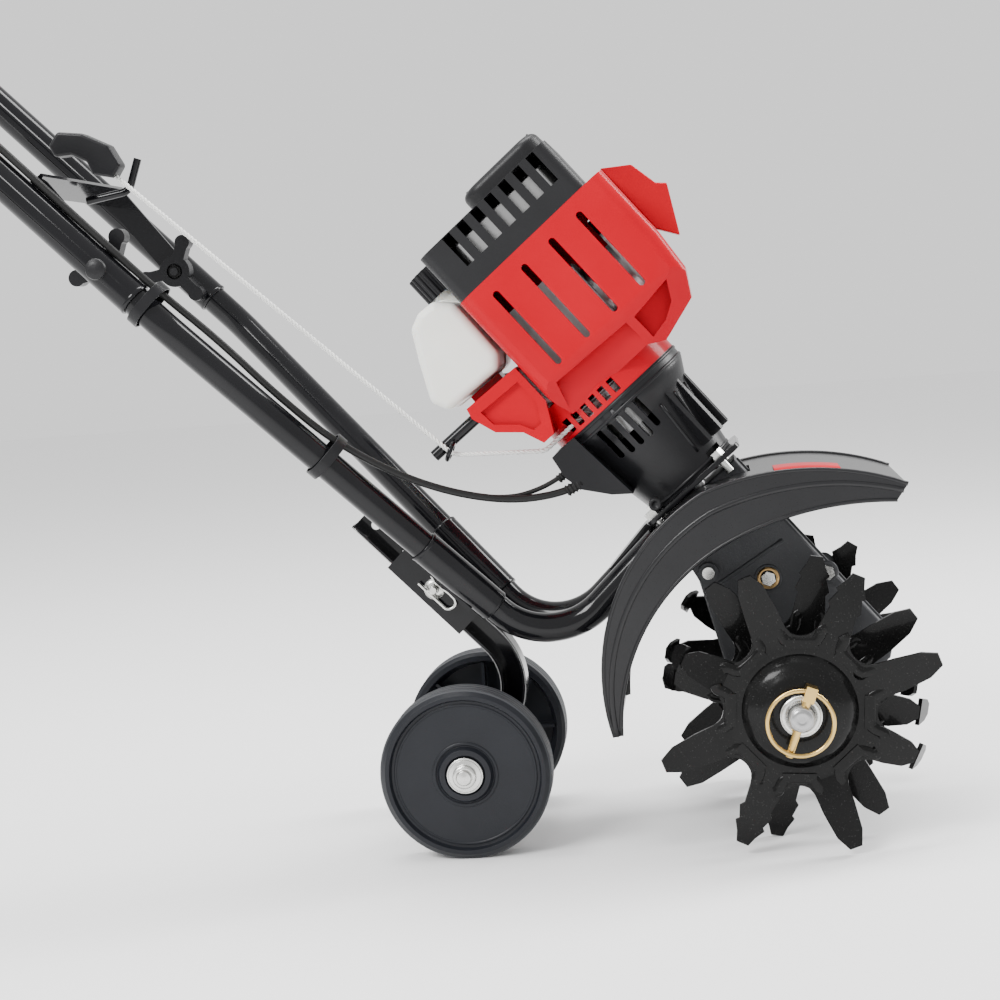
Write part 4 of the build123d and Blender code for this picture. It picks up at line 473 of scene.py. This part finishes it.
for name, y_face, outward, phase in (("outer_right", -104.0, -1, 18.7), ("inner_right", -58.0, -1, 33.7),
                                     ("inner_left", 58.0, 1, 33.7), ("outer_left", 104.0, 1, 11.3)):
    centre = Vector((TINE_X, y_face + outward * 2.8, TINE_Z))
    bm = bmesh.new()
    for rib in range(8):
        middle = radians(phase + 22.5 + 45 * rib)
        radial, around = Vector((cos(middle), 0, sin(middle))), Vector((-sin(middle), 0, cos(middle)))
        route = [centre + radial * out + around * side for out, side in smoothed(RIB_LINE, 3)]
        section = [(1.7 * sin(k * pi / 8), 4.1 * cos(k * pi / 8)) for k in range(16)]
        add_sweep(bm, route, section, up=Vector((0, outward, 0)))
    mesh_object("tine_ribs_" + name, bm, "tine_rotor", "tine_black")
    bm = bmesh.new()
    hub = Vector((TINE_X, y_face + outward * 15, TINE_Z))
    add_turned(bm, hub, (0, outward, 0),
               [(12.4, -1), (15.4, -0.6), (14.6, 0.9), (12.9, 2.2), (12.7, 3.0), (9.2, 3.0)])
    mesh_object("tine_weld_" + name, bm, "tine_rotor", "tine_black")

for side, hand in (("left", 1), ("right", -1)):
    bm = bmesh.new()
    add_turned(bm, Vector((TINE_X, hand * 136.0, TINE_Z)), (0, hand, 0),
               [(0, -0.2), (7.6, -0.2), (7.4, 0.3), (3.4, 0.35), (2.2, -0.15), (0, -0.15)], 40)
    mesh_object("shaft_face_" + side, bm, "tine_rotor", "shaft_steel")
    bm = bmesh.new()
    add_turned(bm, Vector((TINE_X, hand * 123.6, TINE_Z)), (0, hand, 0),
               [(9.3, 0), (14.5, 0), (14.9, 0.5), (14.5, 1.6), (9.3, 1.6), (9.3, 0)], 48)
    mesh_object("shaft_washer_" + side, bm, "tine_rotor", "zinc")

# ---------------------------------------------------------------- depth wheels
for side, hand in (("left", 1), ("right", -1)):
    hub = Vector((AXLE_X, 0, WHEEL_RADIUS))
    body = "depth_wheel_" + side
    bm = bmesh.new()
    steps = [(61.0, 59.6), (63.4, 62.2), (63.7, 63.0)]
    for groove in range(3):
        at = 67.5 + groove * 6.0
        steps += [(63.7, at - 0.9), (63.1, at - 0.5), (63.1, at + 0.5), (63.7, at + 0.9)]
    steps += [(63.7, 82.6), (63.2, 83.2), (61.0, 84.4)]
    add_turned(bm, hub, (0, hand, 0), steps, 128)
    mesh_object("tread_" + side, bm, body, "wheel_tread")
    bm = bmesh.new()
    add_turned(bm, hub, (0, hand, 0),
               [(53.2, 82.8), (53.0, 83.5), (51.6, 83.6), (51.2, 83.2), (50.8, 82.8)], 96)
    add_turned(bm, hub, (0, hand, 0),
               [(24.6, 82.8), (24.2, 83.8), (22.4, 83.9), (21.6, 83.2), (21.4, 82.8)], 64)
    mesh_object("wheel_rings_" + side, bm, body, "wheel_plastic")
    bm = bmesh.new()
    add_turned(bm, hub, (0, hand, 0),
               [(12.6, 86.3), (13.6, 86.6), (13.4, 87.6), (12.3, 88.0), (12.0, 87.0)], 48)
    add_turned(bm, hub, (0, hand, 0), [(7.4, 91.6), (8.6, 91.7), (8.5, 92.2), (6.6, 92.9), (5.9, 92.6)], 48)
    mesh_object("hub_cap_" + side, bm, "wheel_carriage", "zinc")

# ---------------------------------------------------------------- wheel arm and its bracket
local = basis((0, -1, 0), DOWN_LINE)
PIN_AT = Vector((AXLE_X - 22.0, 0, 192.5))


def depth_point(x, z, y=0.0):
    """Place on the depth bracket, along it and square to it."""
    return PIN_AT + local @ Vector((x, z, -y))


for side, hand in (("left", 1), ("right", -1)):
    # Thin bright strips along both edges of the arm: painted edge highlights.
    bm = bmesh.new()
    for edge in (9.4, -9.4):
        line = [depth_point(x, edge, hand * 10.9) for x in range(-78, 61, 6)]
        reach = 49 + edge
        line += [depth_point(60 + reach * sin(radians(a)), -49 + reach * cos(radians(a)), hand * 10.9)
                 for a in range(3, 100, 3)]
        add_sweep(bm, line, [(-0.35, -0.35), (0.35, -0.35), (0.35, 0.35), (-0.35, 0.35)])
    mesh_object("arm_edge_highlight_" + side, bm, "wheel_carriage", "painted_edge_highlight")
bm = bmesh.new()
for hand in (1, -1):
    add_turned(bm, depth_point(0, 0, hand * 15), (0, hand, 0),
               [(3.6, 0), (8.2, 0), (8.2, 1.1), (3.6, 1.1)], 32)
mesh_object("pin_washers", bm, "chassis", "zinc")

# ---------------------------------------------------------------- frame tubes
for side, hand in (("left", 1), ("right", -1)):
    socket = on_side(SOCKET_TOP, hand)
    along = (on_side(FRAME_CORNER, hand) - socket).normalized()
    bm = bmesh.new()
    add_turned(bm, socket + along * 72, along,
               [(12.72, -2.4), (12.9, -1.2), (12.4, 0.0), (11.5, 0.7), (11.1, 0.8)], 48)
    add_turned(bm, socket, along,
               [(11.3, 0.2), (12.2, -0.3), (13.0, 0.4), (12.9, 2.0), (12.72, 2.6)], 48)
    mesh_object("socket_rims_" + side, bm, "chassis", "tube_black")
    bm = bmesh.new()
    bolt = on_side(BOLT, hand)
    add_turned(bm, bolt - UP_LINE * 33, UP_LINE,
               [(11.3, 0.1), (12.3, -0.5), (13.1, 0.3), (13.0, 1.8), (12.7, 2.6)], 48)
    mesh_object("upper_tube_rim_" + side, bm, "chassis", "tube_black")
    bm = bmesh.new()
    inner = Vector((bolt.x, hand * 76.6, bolt.z))
    add_turned(bm, inner, (0, hand, 0), [(0, 3.0), (3.0, 3.0), (3.0, 6), (0, 6)], 24)
    mesh_object("bolt_tip_" + side, bm, "chassis", "zinc")
    bm = bmesh.new()
    add_prism(bm, circle(5.6, 6), Vector((bolt.x, hand * 81.6, bolt.z)), (0, hand, 0), 3.2)
    mesh_object("knob_nut_" + side, bm, "star_knob_" + side, "dark_gap", smooth=False, bevel=0.4)
    bm = bmesh.new()
    for lobe in range(3):
        angle = radians(70 + 120 * lobe)
        for groove in (-1, 1):
            middle = Vector((bolt.x + 16 * cos(angle), hand * 84.0, bolt.z + 16 * sin(angle)))
            side_way = Vector((-sin(angle), 0, cos(angle))) * groove * 3.4
            run = Vector((cos(angle), 0, sin(angle)))
            add_sweep(bm, [middle + side_way + run * step for step in range(-6, 11, 2)], circle(0.55, 8))
    mesh_object("knob_ribs_" + side, bm, "star_knob_" + side, "plastic_black")
    end = on_side(GRIP_END, hand)
    axis = (end - on_side(ELBOW, hand)).normalized()
    bm = bmesh.new()
    for ring in range(15):
        add_turned(bm, end - axis * (86 - ring * 5.6), axis,
                   [(16.3, -1.5), (17.1, -0.9), (17.1, 0.9), (16.3, 1.5)], 48)
    add_turned(bm, end - axis * 95.6, axis,
               [(13.6, 0), (18.6, 0.3), (19.0, 1.6), (18.4, 3.2), (16.4, 4.2)], 48)
    mesh_object("grip_ribs_" + side, bm, "chassis", "grip_rubber")

# ---------------------------------------------------------------- tine guard
REAR, KNEE_AT, FRONT = (AXLE_X + 111, 83), (AXLE_X + 185, 258), (AXLE_X + 332, 256)
crest = arc(REAR, (AXLE_X + 111, 163), KNEE_AT) + arc(KNEE_AT, (AXLE_X + 246, 270.5), FRONT)[1:]
skirt = arc((AXLE_X + 324, 245), (AXLE_X + 258, 241), (AXLE_X + 200, 221))
skirt += arc((AXLE_X + 200, 221), (AXLE_X + 147, 176), (AXLE_X + 116, 84))[1:]
inset = [(x * 0.62 + sx * 0.38, z * 0.62 + sz * 0.38) for (x, z), (sx, sz) in zip(crest, skirt[::-1])]
for side, hand in (("left", 1), ("right", -1)):
    bm = bmesh.new()
    add_sweep(bm, upright(crest, hand * 70.9), circle(1.7, 12), up=Y_DIR)
    add_sweep(bm, upright(skirt, hand * 71.6), circle(1.5, 12), up=Y_DIR)
    mesh_object("guard_rim_" + side, bm, "chassis", "guard_black")
    bm = bmesh.new()
    section = [(cos(k * pi / 4), 2.2 * sin(k * pi / 4)) for k in range(8)]
    add_sweep(bm, upright(inset, hand * 71.8), section, up=Y_DIR)
    mesh_object("guard_crease_" + side, bm, "chassis", "guard_black")
inlay = arc(KNEE_AT, (AXLE_X + 246, 270.5), FRONT, 60)[22:42]
bm = bmesh.new()
rows = [[bm.verts.new((x, y, z + 0.2 + lift)) for x, z in inlay]
        for y, lift in ((-65, 0), (-64, 0.9), (-25, 0.9), (-24, 0))]
for near_row, far_row in zip(rows, rows[1:]):
    for k in range(len(inlay) - 1):
        bm.faces.new((near_row[k], near_row[k + 1], far_row[k + 1], far_row[k]))
mesh_object("guard_inlay", bm, "chassis", "decal_red")

# ---------------------------------------------------------------- gearbox
bm = bmesh.new()
seam = [(34, -12), (34, -24), (31, -60), (31, -188), (18, -198), (-18, -198), (-49, -212), (-92, -154),
        (-48, -62), (-42, -30)]
add_sweep(bm, [ep(u, s) for u, s in seam], [(-2.6, -1.6), (2.6, -1.6), (2.6, 1.6), (-2.6, 1.6)], up=Y_DIR)
mesh_object("gearbox_flange", bm, "chassis", "casting", smooth=False, bevel=0.5)
bm = bmesh.new()
for hand in (1, -1):
    for u, s, radius, rise in ((26, -48, 8.6, 1.4), (27, -118, 8.6, 1.4), (-8, -92, 10.5, 1.6),
                               (-49, -166, 24, 2.2)):
        add_turned(bm, ep(u, s, hand * 21.6), (0, hand, 0),
                   [(radius, 0), (radius - 0.4, rise - 0.4), (radius - 1.0, rise), (radius - 5, rise),
                    (radius - 5.4, 0)], 40)
    for s in (-70, -135):
        add_sweep(bm, [ep(-44 + k * 9, s - k * 1.2, hand * 22.0) for k in range(8)],
                  [(-1.2, -2.0), (1.2, -1.4), (1.2, 1.4), (-1.2, 2.0)], up=Vector((0, hand, 0)))
mesh_object("gearbox_bosses", bm, "chassis", "casting")
bm = bmesh.new()
add_turned(bm, ep(-8, -92, -22), (0, -1, 0), [(6.0, 0), (8.4, 0), (8.4, 1.6), (6.6, 2.4), (6.0, 2.4)], 36)
mesh_object("stud_ring", bm, "chassis", "bronze")

# ---------------------------------------------------------------- clutch housing and covers
bm = bmesh.new()
for radius, s in ((38.6, 3.4), (57.2, 76.0), (57.2, 82.2)):
    add_turned(bm, ep(0, s), S_DIR,
               [(radius - 0.6, -1.4), (radius + 0.6, -1.0), (radius + 0.6, 1.0), (radius - 0.6, 1.4)], 96)
for k in range(7):
    angle = radians(-62 + 20.6 * k)
    low = ep(0, 14) + U_DIR * 39.6 * cos(angle) + Y_DIR * 39.6 * sin(angle)
    high = ep(0, 58) + U_DIR * 48.0 * cos(angle) + Y_DIR * 48.0 * sin(angle)
    add_sweep(bm, [low + (high - low) * t / 6 for t in range(7)], circle(1.5, 8))
mesh_object("housing_ribs", bm, "chassis", "plastic_black")
bm = bmesh.new()
add_turned(bm, ep(-30, 7, -45.9), (0, -1, 0),
           [(0, 0), (4.9, 0), (4.9, 1.6), (4.3, 2.4), (2.4, 2.4), (2.2, 1.6), (0, 1.6)], 24)
mesh_object("screw_sockets", bm, "chassis", "cover_black")
tank = [(-48, 228), (-37, 216), (-38, 168), (-46, 158.6), (-94, 160.6), (-100, 175), (-87, 201), (-74, 224),
        (-62, 229)]
bm = bmesh.new()
loop = []
for (ua, sa), (u, s), (ub, sb) in zip(tank[-1:] + tank[:-1], tank, tank[1:] + tank[:1]):
    before, corner, after = Vector((ua, sa)), Vector((u, s)), Vector((ub, sb))
    cut = 8.0 * tan((corner - before).angle(after - corner) / 2)
    start, end = corner + (before - corner).normalized() * cut, corner + (after - corner).normalized() * cut
    for k in range(7):
        spot = start * (1 - k / 6) ** 2 + corner * 2 * (1 - k / 6) * (k / 6) + end * (k / 6) ** 2
        loop.append(ep(spot.x, spot.y))
add_sweep(bm, loop + loop[:1], circle(1.1, 10), up=Y_DIR)
mesh_object("tank_seam", bm, "chassis", "tank_white")
nurbs("fuel_line_feed", [ep(-60, 160, 40), ep(-58, 150, 62), ep(-40, 148, 80), ep(-19, 156, 84)], 2.4,
      "chassis", "cable_black", order=4)
nurbs("fuel_line_return", [ep(-44, 190, 49), ep(-30, 196, 62), ep(-26, 188, 80), ep(-18, 176, 86)], 2.2,
      "chassis", "cable_black", order=4)
# Floor of the cover's slots, coloured a lighter grey than the black cover: painted light.
bm = bmesh.new()
add_prism(bm, [(-29, -60), (88, -60), (88, 60), (-29, 60)], ep(0, 214), S_DIR, 12, across=U_DIR)
mesh_object("cover_shelf", bm, "chassis", "shelf_painted_light_grey", smooth=False, bevel=2.0)
bm = bmesh.new()
for rib in range(9):
    add_sweep(bm, [ep(24 + rib * 7.6, 270.2, -26 + t * 6) for t in range(12)],
              [(-0.9, -1.0), (0.5, -0.8), (0.5, 0.8), (-0.9, 1.0)], up=S_DIR)
mesh_object("cover_ribs", bm, "chassis", "cover_black")

# ---------------------------------------------------------------- throttle details
bm = bmesh.new()
for along in (-14, 14):
    for side in (-1, 1):
        spot = THROTTLE_AT + throttle_dir * along + throttle_across * side * 18.0 + UNDER * 8
        add_turned(bm, spot, throttle_across * side, [(0, 0), (3.1, 0), (3.0, 0.9), (2.2, 1.5), (0, 1.6)], 24)
mesh_object("throttle_screws", bm, "chassis", "zinc")

# ---------------------------------------------------------------- stage, light and camera
floor_mesh = bpy.data.meshes.new("floor")
floor_mesh.from_pydata([(-6, -6, 0), (6, -6, 0), (6, 6, 0), (-6, 6, 0)], [], [(0, 1, 2, 3)])
floor = bpy.data.objects.new("floor", floor_mesh)
bpy.context.scene.collection.objects.link(floor)
pale = bpy.data.materials.new("pale_floor")
pale.use_nodes = True
pale.node_tree.nodes["Principled BSDF"].inputs["Base Color"].default_value = (0.94, 0.94, 0.94, 1)
pale.node_tree.nodes["Principled BSDF"].inputs["Roughness"].default_value = 0.55
floor_mesh.materials.append(pale)

world = bpy.data.worlds.new("studio")
bpy.context.scene.world = world
world.use_nodes = True
world.node_tree.nodes["Background"].inputs[0].default_value = (1, 1, 1, 1)
world.node_tree.nodes["Background"].inputs[1].default_value = 1.15


def area_light(name, at, towards, size, power):
    """Soft rectangular lamp, in metres and watts, turned to face a place."""
    data = bpy.data.lights.new(name, "AREA")
    data.shape = "RECTANGLE"
    data.size, data.size_y = size
    data.energy = power
    lamp = bpy.data.objects.new(name, data)
    lamp.location = at
    lamp.rotation_euler = (Vector(towards) - Vector(at)).to_track_quat("-Z", "Y").to_euler()
    bpy.context.scene.collection.objects.link(lamp)


area_light("key", (-1.1, -1.6, 1.9), (0.15, 0, 0.3), (1.2, 0.8), 75)
area_light("rim", (1.5, 0.6, 1.3), (0.2, 0, 0.3), (0.5, 1.2), 34)
area_light("top", (0.1, 0.2, 2.1), (0.2, 0, 0.2), (1.6, 0.5), 45)

# The camera's place in metres, and how far it turns, dips and tilts.
CAMERA_AT = (0.36946, -1.44145, 0.40683)
TILT = radians(4.387)
YAW, PITCH = radians(5.974), radians(6.418)
look = Vector((-sin(YAW) * cos(PITCH), cos(YAW) * cos(PITCH), -sin(PITCH)))
right = look.cross(Vector((0, 0, 1))).normalized()
upward = right.cross(look)


def level(v):
    """A direction turned by the tilt of the camera's own upright."""
    return Vector((v.x * cos(TILT) + v.z * sin(TILT), v.y, -v.x * sin(TILT) + v.z * cos(TILT)))


right, upward, look = level(right), level(upward), level(look)
camera_data = bpy.data.cameras.new("camera")
camera_data.lens = 68.5
camera_data.sensor_width = 36
camera = bpy.data.objects.new("camera", camera_data)
turned = Matrix((right, upward, -look)).transposed().to_4x4()
camera.matrix_world = Matrix.Translation(CAMERA_AT) @ turned
bpy.context.scene.collection.objects.link(camera)
bpy.context.scene.camera = camera
